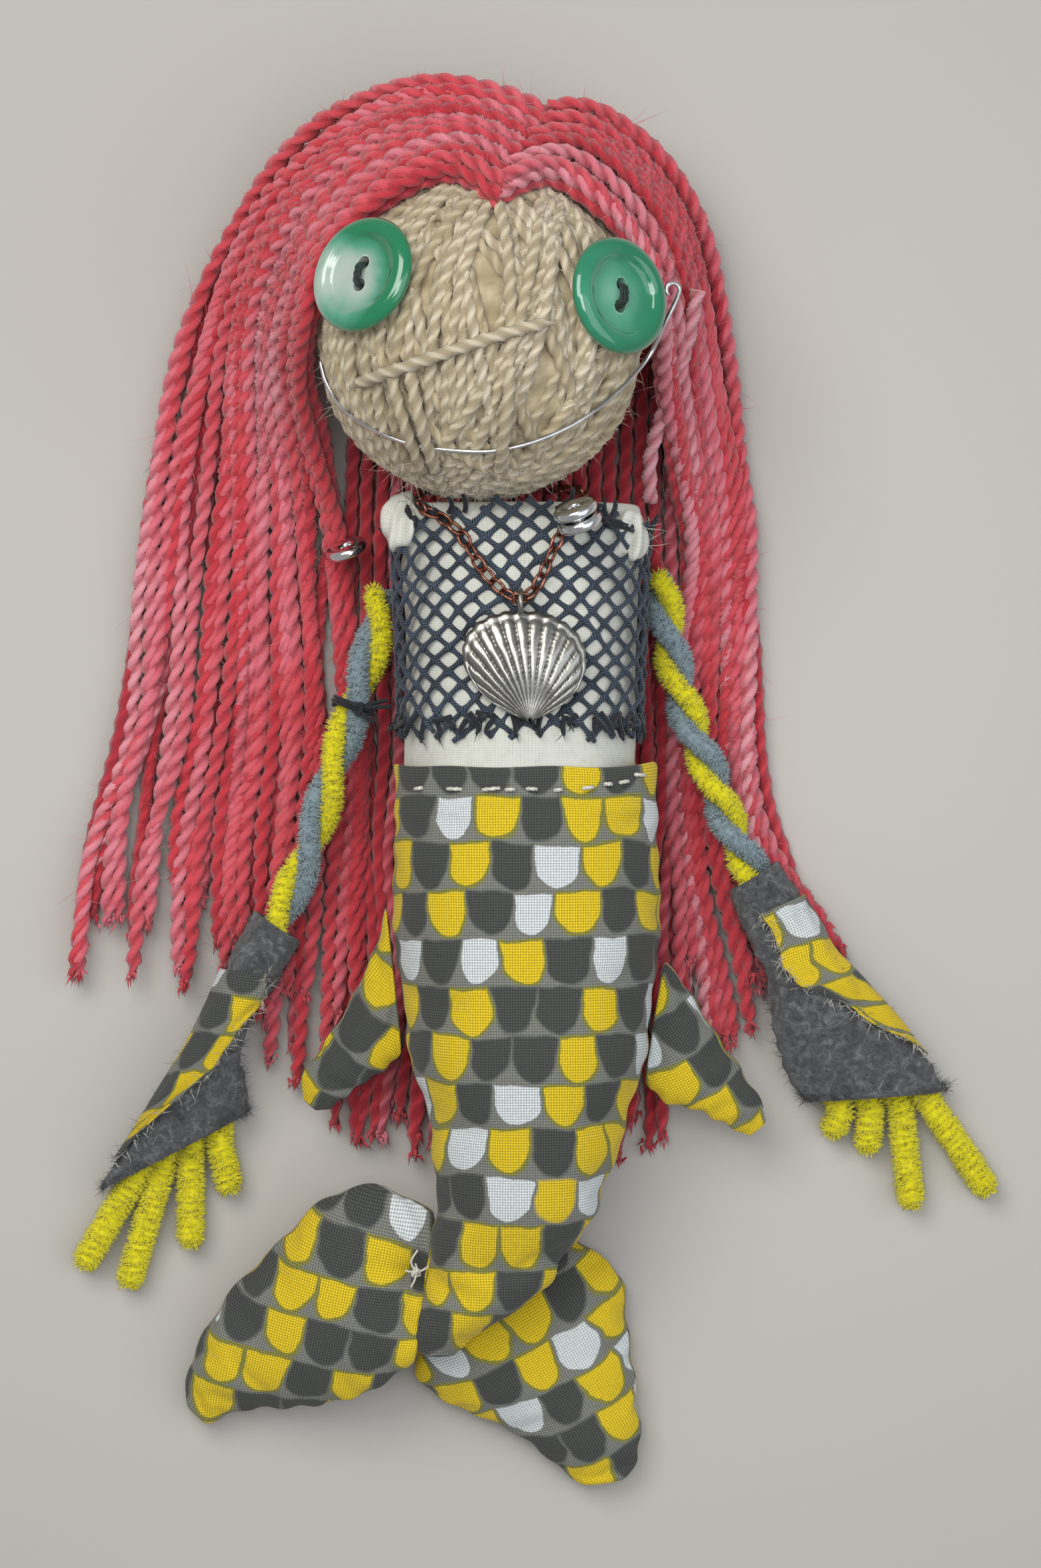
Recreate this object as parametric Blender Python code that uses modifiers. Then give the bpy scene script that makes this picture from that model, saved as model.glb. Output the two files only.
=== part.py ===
"""A mermaid doll lying on its back: yarn head and hair, calico body, pipe cleaner arms, stuffed tail.

The face looks along +Z and the head lies towards +Y. The origin is on the surface that the doll
lies on, under its waist. The left side is the side at -X. Lengths below are in millimetres, and
new_mesh and new_tube turn them into metres.
"""
import math

import bmesh
import bpy
import numpy as np
from mathutils import Matrix

MM = 0.001
SEAT_GAP = 0.3
SAFE_GAP = 0.5

HEAD_RADIUS = 30.0
HEAD_X = -7.5
WINDINGS = 22
WINDING_DEPTH = 1.1
FACE_STRAND_RADIUS = 1.6

BUTTON_RADIUS = 0.36 * HEAD_RADIUS
BUTTON_THICKNESS = 3.4
BUTTON_ROUNDING = 1.3
BUTTON_FOOT = 2.6
BUTTON_DISH_RADIUS = 0.7 * BUTTON_RADIUS
BUTTON_DISH_SLOPE = 1.2
BUTTON_DISH_DEPTH = 1.1
BUTTON_HOLE_RADIUS = 1.25
BUTTON_HOLE_SPACING = 4.2
EYE_LEFT_SPOT = (-0.667, 0.277)
EYE_LEFT_TILT = 38.0
EYE_LEFT_STITCH_TURN = 4.0
EYE_RIGHT_SPOT = (0.81, 0.163)
EYE_RIGHT_TILT = 40.0
EYE_RIGHT_STITCH_TURN = 12.0
EYE_THREAD_RADIUS = 0.75
MOUTH_WIRE_RADIUS = 0.4
MOUTH_CURL_RADIUS = 1.25

HAIR_DEPTH = 6.0
HAIR_RIB_DEPTH = 1.3
HAIR_SHEET = 5.4
HAIR_SHEET_ON_HEAD = 3.6
HAIR_JAG = 5.0
HAIR_LIFT = 1.5
HAIR_CROWDING = 1.35
HAIR_LEFT_LOCKS = 6
HAIR_RIGHT_LOCKS = 4
HAIR_BACK_LOCKS = 5
HAIR_BACK_WIDTH = 56.0
HAIR_BACK_TIP_Y = -75.0
LOCK_RIBS = 3

TORSO_LENGTH = 49.0
TORSO_CHEST_WIDTH = 46.4
TORSO_WAIST_WIDTH = 42.6
TORSO_DEPTH = 30.0
NECK_RADIUS = 9.0
NECK_LENGTH = 1.1
WAIST_Y = 3.0
TORSO_IN_TAIL = 12.0
BODY_SIDES = 16

NET_LENGTH = 38.4
NET_FROM_WAIST = 8.4
NET_COLUMNS = 13
NET_ROWS = 6
NET_STRAND = 1.5
NET_THICKNESS = 0.9

LINK_PITCH = 3.8
LINK_WIRE_RADIUS = 0.36
LINK_WIDTH = 2.3
LINK_BITE = 0.24

SHELL_WIDTH = 22.8
SHELL_LENGTH = 20.5
SHELL_THICKNESS = 1.3
SHELL_DOME = 3.0
SHELL_RIBS = 13
SHELL_RIB_DEPTH = 0.55
BAIL_RADIUS = 2.2
BAIL_WIRE_RADIUS = 0.5
BAIL_SET = 1.55

BEAD_RADIUS = 4.2
BEAD_THICKNESS = 2.2
BEAD_HOLE_RADIUS = 1.2
BEAD_LEAN = 20.0

STEM_RADIUS = 1.6
STEM_OFFSET = 1.85
ARM_LEFT_PITCH = 31.0
ARM_RIGHT_PITCH = 12.0
FINGER_RADIUS = 2.1
FINGER_ROOT = 0.95
FINGER_TIP_RISE = 1.2
FINGER_TAPER = 1.2
FINGER_STRAIGHT = 4.5
SLEEVE_WALL = 1.1
SLEEVE_POWER = 2.3
PRINT_THICKNESS = 0.9

TAIL_LENGTH = 111.0
TAIL_WIDTH = 51.2
TAIL_HEM_WALL = 1.3
FIN_DEPTH = 6.5
FLUKE_DEPTH = 12.0
FLUKE_REST = 0.4

BODY_HALF_DEPTH = TORSO_DEPTH / 2 + SAFE_GAP + TAIL_HEM_WALL
BODY_Z = HAIR_DEPTH + SEAT_GAP + BODY_HALF_DEPTH
SHOULDER_Y = WAIST_Y + TORSO_LENGTH
HEAD_Y = SHOULDER_Y + NECK_LENGTH + SEAT_GAP + HEAD_RADIUS
HEAD_Z = HAIR_DEPTH + SEAT_GAP + HEAD_RADIUS
HEAD_CENTRE = np.array([HEAD_X, HEAD_Y, HEAD_Z])
ARM_RADIUS = STEM_OFFSET + STEM_RADIUS
SLEEVE_HALF_DEPTH = ARM_RADIUS + SAFE_GAP + SLEEVE_WALL
SHELL_FOOT_Y = WAIST_Y + NET_FROM_WAIST


def new_collection(name):
    """Make a collection under the scene's own."""
    collection = bpy.data.collections.new(name)
    bpy.context.scene.collection.children.link(collection)
    return collection


def linear(channel):
    """Turn one sRGB channel from 0 to 1 into linear light."""
    return channel / 12.92 if channel <= 0.04045 else ((channel + 0.055) / 1.055) ** 2.4


def finish(name, hex_colour, roughness, metallic=0.0):
    """Make a plain Principled material."""
    material = bpy.data.materials.new(name)
    material.use_nodes = True
    shader = material.node_tree.nodes["Principled BSDF"]
    channels = [linear(int(hex_colour[i:i + 2], 16) / 255) for i in (1, 3, 5)]
    shader.inputs["Base Color"].default_value = (*channels, 1.0)
    shader.inputs["Roughness"].default_value = roughness
    shader.inputs["Metallic"].default_value = metallic
    material.diffuse_color = (*channels, 1.0)
    return material


def finishes():
    """Make one material for each stuff that the doll is made of."""
    return {
        "beige_yarn": finish("beige_yarn", "#BFB08C", 0.95),
        "red_yarn": finish("red_yarn", "#CC4852", 0.95),
        "pink_yarn": finish("pink_yarn", "#DF7F8F", 0.95),
        "button": finish("button", "#4FA883", 0.2),
        "thread": finish("thread", "#16241F", 0.8),
        "silver_wire": finish("silver_wire", "#D5D6D8", 0.2, 1.0),
        "calico": finish("calico", "#DAD8CC", 0.9),
        "net": finish("net", "#2F3A47", 0.7),
        "copper": finish("copper", "#9C5A42", 0.35, 1.0),
        "shell_silver": finish("shell_silver", "#B9B9B4", 0.35, 1.0),
        "yellow_chenille": finish("yellow_chenille", "#D8D020", 0.95),
        "grey_chenille": finish("grey_chenille", "#7D8C93", 0.95),
        "felt": finish("felt", "#4C4E52", 0.95),
        "print_cloth": finish("print_cloth", "#8A8A70", 0.9),
    }


def spline(points, count):
    """Give count evenly spaced points on a smooth curve through the given points."""
    inner = np.asarray(points, dtype=float)
    knots = np.vstack([2 * inner[0] - inner[1], inner, 2 * inner[-1] - inner[-2]])
    steps = np.linspace(0, 1, 14, endpoint=False)[:, None]
    spans = []
    for a, b, c, d in zip(knots[:-3], knots[1:-2], knots[2:-1], knots[3:]):
        cubic = -a + 3 * b - 3 * c + d
        square = 2 * a - 5 * b + 4 * c - d
        spans.append(0.5 * (2 * b + (c - a) * steps + square * steps ** 2 + cubic * steps ** 3))
    fine = np.vstack(spans + [inner[-1:]])
    run = np.concatenate([[0.0], np.cumsum(np.linalg.norm(np.diff(fine, axis=0), axis=1))])
    places = np.linspace(0, run[-1], count)
    return np.column_stack([np.interp(places, run, column) for column in fine.T])


def along(t, stops):
    """Read a smooth value at t from (t, value) stops."""
    places, values = zip(*stops)
    index = min(max(np.searchsorted(places, t) - 1, 0), len(places) - 2)
    share = (t - places[index]) / (places[index + 1] - places[index])
    share = min(max(share, 0.0), 1.0)
    share = share * share * (3 - 2 * share)
    return values[index] + (values[index + 1] - values[index]) * share


def new_mesh(name, points, faces, material, collection, flat=False):
    """Put points and faces in a new object, with its faces turned outwards."""
    mesh = bpy.data.meshes.new(name)
    mesh.from_pydata((np.asarray(points) * MM).tolist(), [], faces)
    shape = bmesh.new()
    shape.from_mesh(mesh)
    bmesh.ops.recalc_face_normals(shape, faces=shape.faces)
    shape.to_mesh(mesh)
    shape.free()
    mesh.materials.append(material)
    if not flat:
        mesh.shade_smooth()
        mesh.set_sharp_from_angle(angle=math.radians(50))
    thing = bpy.data.objects.new(name, mesh)
    collection.objects.link(thing)
    return thing


def new_tube(name, points, radius, material, collection, sides=6, round_ends=False):
    """Make a tube along points, with round ends where asked."""
    data = bpy.data.curves.new(name, "CURVE")
    data.dimensions = "3D"
    data.bevel_depth = radius * MM
    data.bevel_resolution = (sides - 4) // 2
    data.use_fill_caps = True
    path = data.splines.new("POLY")
    path.points.add(len(points) - 1)
    for knot, spot in zip(path.points, points):
        knot.co = (*(np.asarray(spot) * MM), 1.0)
    if round_ends:
        path.points[0].radius = 0.5
        path.points[-1].radius = 0.5
    data.materials.append(material)
    thing = bpy.data.objects.new(name, data)
    collection.objects.link(thing)
    return thing


def skin(rings, wrap=False):
    """Join equal rings into a skin, with flat ends or wrapped back to the first ring."""
    rings = np.asarray(rings)
    count, size, _ = rings.shape
    last = count if wrap else count - 1
    faces = []
    for i in range(last):
        here, there = i * size, (i + 1) % count * size
        faces += [(here + k, here + (k + 1) % size, there + (k + 1) % size, there + k) for k in range(size)]
    if not wrap:
        faces += [tuple(range(size)), tuple(range((count - 1) * size, count * size))]
    return rings.reshape(-1, 3), faces


def lock_skin(rings):
    """Join a lock's rings, with the quads of both side walls cut along the same diagonal as a neighbour's."""
    points, faces = skin(rings)
    size = rings.shape[1]
    halves = []
    for face in faces[:-2]:
        a, b, c, d = face
        if a % size == size - 1:
            halves += [(a, b, d), (b, c, d)]
        else:
            halves += [(a, b, c), (a, c, d)]
    return points, halves + faces[-2:]


def squircle(angles, power):
    """Give the unit points of a rounded oblong at the angles."""
    c, s = np.cos(angles), np.sin(angles)
    return np.sign(c) * np.abs(c) ** (2 / power), np.sign(s) * np.abs(s) ** (2 / power)


def ring_between(left, right, z, half_depth, sides, power=2.0, grow=0.0):
    """Make an oblong ring whose two outer edges are the points left and right in plan."""
    left, right = np.asarray(left, dtype=float), np.asarray(right, dtype=float)
    middle, half = (left + right) / 2, (right - left) / 2
    half = half * (1 + grow / np.linalg.norm(half))
    c, s = squircle(np.arange(sides) / sides * math.tau, power)
    return np.column_stack([middle[0] + half[0] * c, middle[1] + half[1] * c, z + (half_depth + grow) * s])


def torso_half_width(y):
    """Half the torso's width at y."""
    share = min(max((y - WAIST_Y) / TORSO_LENGTH, 0.0), 1.0)
    return (TORSO_WAIST_WIDTH + (TORSO_CHEST_WIDTH - TORSO_WAIST_WIDTH) * share) / 2


def torso_ring(y, sides, width_share=1.0, depth_share=1.0, grow=0.0):
    """Make the torso's cross-section at y, grown outwards where asked."""
    half = torso_half_width(y) * width_share
    return ring_between((-half, y), (half, y), BODY_Z, TORSO_DEPTH / 2 * depth_share, sides, 2.5, grow)


def chest_top(x, y):
    """Height of the net's outer face above the chest at x and y."""
    cover = SAFE_GAP + NET_THICKNESS
    across = min(abs(x) / (torso_half_width(y) + cover), 0.97)
    return BODY_Z + (TORSO_DEPTH / 2 + cover) * (1 - across ** 2.5) ** (1 / 2.5)


def build_head(parts, mats):
    """Make the wound ball, with a ridge for each group of windings from crown to chin."""
    shape = bmesh.new()
    bmesh.ops.create_uvsphere(shape, u_segments=2 * WINDINGS, v_segments=10, radius=HEAD_RADIUS)
    for vert in shape.verts:
        x, y, z = vert.co
        turn = round(math.atan2(y, x) / math.tau * 2 * WINDINGS)
        fall = math.hypot(x, y) / HEAD_RADIUS
        depth = WINDING_DEPTH * fall if turn % 2 else 0.0
        keep = 1 - depth / HEAD_RADIUS
        vert.co = (x * keep, z * keep, -y * keep)
    mesh = bpy.data.meshes.new("head_ball")
    shape.to_mesh(mesh)
    shape.free()
    mesh.transform(scale_to_metres())
    mesh.materials.append(mats["beige_yarn"])
    mesh.shade_smooth()
    ball = bpy.data.objects.new("head_ball", mesh)
    ball.location = HEAD_CENTRE * MM
    parts.objects.link(ball)


def scale_to_metres():
    """Give the matrix that turns millimetres into metres."""
    return Matrix.Scale(MM, 4)


def on_head(x, y, lift):
    """Place a point at x and y from the head's centre, lift above the windings."""
    radius = HEAD_RADIUS + lift
    flat = min(math.hypot(x, y), radius)
    return HEAD_CENTRE + np.array([x, y, math.sqrt(radius ** 2 - flat ** 2)])


def build_face_strand(parts, mats):
    """Lay the loose strand across the face, from the left cheek up to the right eye."""
    route = [(-0.78, -0.37), (-0.6, -0.32), (-0.4, -0.265), (-0.1, -0.17), (0.25, -0.06), (0.46, -0.01)]
    lift = FACE_STRAND_RADIUS + SEAT_GAP
    points = [on_head(x * HEAD_RADIUS, y * HEAD_RADIUS, lift) for x, y in route]
    new_tube("face_strand", spline(points, 12), FACE_STRAND_RADIUS, mats["beige_yarn"], parts)


def build_mouth(parts, mats):
    """Bend the smile round the lower face and curl its free end beside the right eye."""
    lift = MOUTH_WIRE_RADIUS + SEAT_GAP
    route = [(-0.98, -0.18), (-0.93, -0.34), (-0.82, -0.5), (-0.62, -0.64), (-0.4, -0.725), (-0.15, -0.765)]
    route += [(0.1, -0.765), (0.36, -0.7), (0.62, -0.57), (0.85, -0.38)]
    points = [on_head(x * HEAD_RADIUS, y * HEAD_RADIUS, lift) for x, y in route]
    free_end = [(1.03, -0.17, 0.29), (1.13, 0.03, 0.36), (1.195, 0.16, 0.39), (1.22, 0.23, 0.41)]
    points += [HEAD_CENTRE + np.array(place) * HEAD_RADIUS for place in free_end]
    curl_centre = points[-1] - np.array([MOUTH_CURL_RADIUS, 0.0, 0.0])
    turns = np.radians(np.linspace(0, 235, 8))[1:]
    curl = [curl_centre + MOUTH_CURL_RADIUS * np.array([math.cos(a), math.sin(a), 0.12 * a]) for a in turns]
    path = list(spline(points, 22)) + curl
    new_tube("mouth_wire", path, MOUTH_WIRE_RADIUS, mats["silver_wire"], parts, sides=4)


def button_frame(x, y, tilt):
    """Give the centre of a button's back and its outward direction, seated on the windings."""
    lean = math.radians(tilt)
    side = np.array([x, y]) / math.hypot(x, y) * math.sin(lean)
    outward = np.array([side[0], side[1], math.cos(lean)])
    height = (HEAD_RADIUS + SEAT_GAP - x * outward[0] - y * outward[1]) / outward[2]
    return HEAD_CENTRE + np.array([x, y, height]), outward


def upright_frame(outward):
    """Give two directions across an outward one, the second as near +Y as can be."""
    across = np.cross([0.0, 1.0, 0.0], outward)
    across /= np.linalg.norm(across)
    return across, np.cross(outward, across)


def turned(name, profile, steps, material, collection):
    """Turn a closed profile of (radius, height) points round Z with a Screw modifier."""
    mesh = bpy.data.meshes.new(name)
    points = [(r * MM, 0.0, z * MM) for r, z in profile]
    closed = profile[0][0] > 0 and profile[-1][0] > 0
    edges = [(i, (i + 1) % len(points)) for i in range(len(points) if closed else len(points) - 1)]
    mesh.from_pydata(points, edges, [])
    mesh.materials.append(material)
    thing = bpy.data.objects.new(name, mesh)
    collection.objects.link(thing)
    screw = thing.modifiers.new("turn", "SCREW")
    screw.steps = steps
    screw.render_steps = steps
    screw.use_merge_vertices = True
    screw.merge_threshold = 0.00001
    return thing


def place(thing, origin, across, up, outward):
    """Stand an object at origin with its X, Y and Z along the three directions."""
    columns = np.column_stack([across, up, outward])
    matrix = Matrix(columns.tolist()).to_4x4()
    matrix.translation = np.asarray(origin) * MM
    thing.matrix_world = matrix


def build_eye(side, spot, tilt, stitch_turn, parts, cutters, mats):
    """Make one two-hole button, at a spot in shares of the head's radius, and the thread through it."""
    back, outward = button_frame(spot[0] * HEAD_RADIUS, spot[1] * HEAD_RADIUS, tilt)
    across, up = upright_frame(outward)
    dish_floor = BUTTON_THICKNESS - BUTTON_DISH_DEPTH
    rim = BUTTON_RADIUS - BUTTON_ROUNDING
    profile = [(0.0, dish_floor), (BUTTON_DISH_RADIUS - BUTTON_DISH_SLOPE, dish_floor)]
    profile += [(BUTTON_DISH_RADIUS, BUTTON_THICKNESS - 0.15 * BUTTON_ROUNDING), (rim, BUTTON_THICKNESS)]
    profile += [(BUTTON_RADIUS, BUTTON_THICKNESS - BUTTON_ROUNDING)]
    profile += [(BUTTON_RADIUS - 0.5 * BUTTON_ROUNDING, 0.5 * BUTTON_ROUNDING), (BUTTON_RADIUS - BUTTON_FOOT, 0.0)]
    profile += [(0.0, 0.0)]
    button = turned(f"eye_button_{side}", profile, 16, mats["button"], parts)
    place(button, back, across, up, outward)
    turn = math.radians(stitch_turn)
    along_stitch = across * math.sin(turn) + up * math.cos(turn)
    for number, sign in enumerate((-1, 1), start=1):
        hole_foot = back + along_stitch * sign * BUTTON_HOLE_SPACING / 2
        hole = drill(f"hole_{side}_{number}", BUTTON_HOLE_RADIUS, 3 * BUTTON_THICKNESS, cutters)
        place(hole, hole_foot + outward * BUTTON_THICKNESS / 2, across, up, outward)
        cut = button.modifiers.new(f"hole_{number}", "BOOLEAN")
        cut.operation = "DIFFERENCE"
        cut.solver = "EXACT"
        cut.object = hole
    above = outward * (dish_floor + SEAT_GAP + EYE_THREAD_RADIUS)
    ends = [back + along_stitch * sign * BUTTON_HOLE_SPACING / 2 for sign in (-1, 1)]
    low = outward * 0.2
    points = [ends[0] + low, ends[0] + above * 0.8, ends[0] * 0.7 + ends[1] * 0.3 + above]
    points += [ends[0] * 0.3 + ends[1] * 0.7 + above, ends[1] + above * 0.8, ends[1] + low]
    new_tube(f"eye_thread_{side}", points, EYE_THREAD_RADIUS, mats["thread"], parts)


def drill(name, radius, length, cutters):
    """Make a round cutter along its own Z."""
    shape = bmesh.new()
    bmesh.ops.create_cone(shape, cap_ends=True, segments=8, radius1=radius * MM, radius2=radius * MM,
                          depth=length * MM)
    mesh = bpy.data.meshes.new(name)
    shape.to_mesh(mesh)
    shape.free()
    thing = bpy.data.objects.new(name, mesh)
    cutters.objects.link(thing)
    thing.hide_render = True
    thing.display_type = "WIRE"
    return thing


def build_torso(parts, mats):
    """Loft the stuffed body from inside the tail up to its neck."""
    low = WAIST_Y - TORSO_IN_TAIL
    sections = [(low, 0.97, 0.9), (low + 2, 1, 1), (WAIST_Y, 1, 1), (WAIST_Y + TORSO_LENGTH * 0.5, 1, 1)]
    sections += [(SHOULDER_Y - 2.6, 1, 1), (SHOULDER_Y - 1, 0.97, 0.88), (SHOULDER_Y, 0.88, 0.66)]
    rings = [torso_ring(y, BODY_SIDES, wide, deep) for y, wide, deep in sections]
    neck_z = BODY_Z + TORSO_DEPTH / 2 * 0.3
    for y, share in ((SHOULDER_Y + 0.1, 1.0), (SHOULDER_Y + NECK_LENGTH, 0.92)):
        half = NECK_RADIUS * share
        edges = (HEAD_X * 0.7 - half, y), (HEAD_X * 0.7 + half, y)
        rings.append(ring_between(*edges, neck_z, half * 0.55, BODY_SIDES))
    new_mesh("torso", *skin(rings), mats["calico"], parts)


def build_net(parts, mats):
    """Knot the net tube: diamonds round the chest, each one a gap with a strand round it."""
    low = WAIST_Y + NET_FROM_WAIST
    rows = []
    for row in range(NET_ROWS + 2):
        y = low + NET_LENGTH * row / (NET_ROWS + 1)
        ring = torso_ring(min(y, SHOULDER_Y), 2 * NET_COLUMNS, grow=SAFE_GAP)
        ring[:, 1] = y
        rows.append(ring[row % 2::2])
    shape = bmesh.new()
    verts = [[shape.verts.new(spot * MM) for spot in row] for row in rows]
    count = NET_COLUMNS
    for row in range(1, NET_ROWS + 1):
        for i in range(count):
            side = (i - 1) % count if row % 2 else (i + 1) % count
            shape.faces.new((verts[row - 1][i], verts[row][i], verts[row + 1][i], verts[row][side]))
    bmesh.ops.recalc_face_normals(shape, faces=shape.faces)
    gaps = list(shape.faces)
    bmesh.ops.inset_individual(shape, faces=gaps, thickness=NET_STRAND / 2 * MM)
    bmesh.ops.delete(shape, geom=gaps, context="FACES")
    mesh = bpy.data.meshes.new("net_top")
    shape.to_mesh(mesh)
    shape.free()
    mesh.materials.append(mats["net"])
    net = bpy.data.objects.new("net_top", mesh)
    parts.objects.link(net)
    wall = net.modifiers.new("wall", "SOLIDIFY")
    wall.thickness = NET_THICKNESS * MM
    wall.offset = 1.0


def link_mesh(start, stop, upright):
    """Give the points and faces of one oval link between two places on the chain's route."""
    ahead = stop - start
    pitch = np.linalg.norm(ahead)
    ahead /= pitch
    side = np.cross([0.0, 0.0, 1.0], ahead)
    side /= np.linalg.norm(side)
    if upright:
        side = np.cross(ahead, side)
    out = np.cross(ahead, side)
    centre = (start + stop) / 2
    half_length = pitch / 2 + LINK_WIRE_RADIUS - LINK_BITE / 2
    half_width = LINK_WIDTH / 2 - LINK_WIRE_RADIUS
    rings = []
    corner = math.tau / 12
    for k in range(6):
        a = math.tau * k / 6 + corner
        radial = ahead * math.cos(a) / math.cos(corner) * half_length + side * math.sin(a) * half_width
        inward = -radial / np.linalg.norm(radial)
        ring = [centre + radial + LINK_WIRE_RADIUS * (inward * math.cos(b) + out * math.sin(b))
                for b in (0.0, math.tau / 3, 2 * math.tau / 3)]
        rings.append(ring)
    return skin(rings, wrap=True)


def chain_route():
    """Give the chain's route from one side of the bail, up the chest, behind the neck and back down."""
    rise = SEAT_GAP + LINK_WIDTH / 2 + 0.1
    centre = bail_centre()
    half = TORSO_CHEST_WIDTH / 2
    left = [(-0.72, SHOULDER_Y - 1.8), (-0.52, SHOULDER_Y - 5), (-0.4, SHOULDER_Y - 11), (-0.17, centre[1] + 3)]
    right = [(0.16, centre[1] + 3), (0.24, SHOULDER_Y - 11), (0.36, SHOULDER_Y - 5), (0.54, SHOULDER_Y - 1.8)]
    down, up = [[np.array([x * half, y, chest_top(x * half, min(y, SHOULDER_Y)) + rise]) for x, y in run]
                for run in (left, right)]
    back_y = SHOULDER_Y + rise + 0.4
    back = [(0.5, 0.4, 6.0), (0.35, 1.4, -2.0), (0.0, 2.2, -6.0), (-0.35, 2.6, -7.0), (-0.66, 1.6, -3.0)]
    back += [(-0.8, 0.5, 6.0)]
    behind = [np.array([x * half, back_y + y, BODY_Z + z]) for x, y, z in back]
    in_bail = np.array([LINK_PITCH / 2, 0.0, 0.0])
    return [centre + in_bail] + up + behind + down + [centre - in_bail]


def bail_centre():
    """Give the middle of the pendant's bail, which stands on the fan's edge."""
    y = SHELL_FOOT_Y + SHELL_LENGTH + BAIL_SET
    return np.array([0.0, y, chest_top(0.0, SHELL_FOOT_Y) + SEAT_GAP + BAIL_RADIUS + BAIL_WIRE_RADIUS])


def build_chain(parts, mats):
    """String oval links along the route, every other one turned on edge, and join them."""
    route = spline(chain_route(), 400)
    length = np.linalg.norm(np.diff(route, axis=0), axis=1).sum()
    count = 2 * round((length / LINK_PITCH - 1) / 2) + 2
    route = spline(chain_route(), count)
    route = np.vstack([route, route[:1]])
    halves = []
    for upright in (False, True):
        points, faces = [], []
        for i in range(int(upright), count, 2):
            link_points, link_faces = link_mesh(route[i], route[i + 1], upright)
            faces += [tuple(k + len(points) for k in face) for face in link_faces]
            points += list(link_points)
        halves.append((points, faces))
    chain = new_mesh("necklace_chain", *halves[0], mats["copper"], parts, flat=True)
    other = new_mesh("upright_links", *halves[1], mats["copper"], parts, flat=True)
    union = chain.modifiers.new("linked", "BOOLEAN")
    union.operation = "UNION"
    union.solver = "EXACT"
    union.object = other
    apply_and_drop(chain, other)


def apply_and_drop(thing, helper):
    """Turn an object into its evaluated mesh and remove the helper that it used."""
    bpy.context.view_layer.update()
    graph = bpy.context.evaluated_depsgraph_get()
    mesh = bpy.data.meshes.new_from_object(thing.evaluated_get(graph))
    thing.modifiers.clear()
    thing.data = mesh
    bpy.data.objects.remove(helper, do_unlink=True)


def build_pendant(parts, mats):
    """Cast the scallop: a ribbed fan that opens towards the chin, with its bail on the fan's edge."""
    rest = chest_top(0.0, SHELL_FOOT_Y) + SEAT_GAP
    columns = 2 * SHELL_RIBS + 1
    shares = (0.1, 0.45, 0.8, 1.0)
    grid = []
    for share in shares:
        row = []
        for k in range(columns):
            spread = -1 + 2 * k / (columns - 1)
            angle = math.radians(62) * spread
            reach = SHELL_LENGTH * (1 - 0.16 * abs(spread) ** 3)
            x = share * reach * math.sin(angle) * SHELL_WIDTH / (2 * SHELL_LENGTH * 0.79)
            y = SHELL_FOOT_Y + share * reach * math.cos(angle * 0.72)
            rib = SHELL_RIB_DEPTH * share if k % 2 == 0 else 0.0
            bulge = SHELL_DOME * (1 - spread ** 2) * (1 - (share - 0.45) ** 2 / 0.36)
            row.append((x, y, rest + SHELL_THICKNESS + max(bulge, 0.0) + rib))
        grid.append(row)
    top = np.array(grid)
    slab(parts, "shell_pendant", top, SHELL_THICKNESS, rest, mats["shell_silver"])
    add_bail(parts, mats)


def slab(parts, name, top, thickness, floor, material):
    """Give an open grid a back that follows it, so that it becomes a thin closed casting."""
    rows, columns, _ = top.shape
    back = top.copy()
    back[:, :, 2] = np.maximum(back[:, :, 2] - thickness, floor)
    points = np.vstack([top.reshape(-1, 3), back.reshape(-1, 3)])
    step = rows * columns
    faces = []
    for i in range(rows - 1):
        for k in range(columns - 1):
            quad = (i * columns + k, i * columns + k + 1, (i + 1) * columns + k + 1, (i + 1) * columns + k)
            faces += [quad, tuple(spot + step for spot in reversed(quad))]
    edge = [k for k in range(columns)] + [i * columns + columns - 1 for i in range(1, rows)]
    edge += [(rows - 1) * columns + k for k in range(columns - 2, -1, -1)]
    edge += [i * columns for i in range(rows - 2, 0, -1)]
    faces += [(a, b, b + step, a + step) for a, b in zip(edge, edge[1:] + edge[:1])]
    return new_mesh(name, points, faces, material, parts)


def add_bail(parts, mats):
    """Join a small upright ring to the middle of the fan's edge."""
    centre = bail_centre()
    rings = []
    for k in range(10):
        a = math.tau * k / 10
        radial = np.array([0.0, math.cos(a), math.sin(a)])
        rings.append([centre + radial * (BAIL_RADIUS + BAIL_WIRE_RADIUS * math.cos(b))
                      + np.array([BAIL_WIRE_RADIUS * math.sin(b), 0, 0])
                      for b in np.arange(5) / 5 * math.tau])
    ring = new_mesh("bail", *skin(rings, wrap=True), mats["shell_silver"], parts)
    pendant = bpy.data.objects["shell_pendant"]
    union = pendant.modifiers.new("bail", "BOOLEAN")
    union.operation = "UNION"
    union.solver = "EXACT"
    union.object = ring
    apply_and_drop(pendant, ring)


def bead_axis(lean):
    """Give the direction of an ear bead's hole, lean degrees from +Y and a little upwards."""
    turn = math.radians(lean)
    outward = np.array([-math.sin(turn), math.cos(turn) * 0.94, 0.34])
    return outward / np.linalg.norm(outward)


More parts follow.
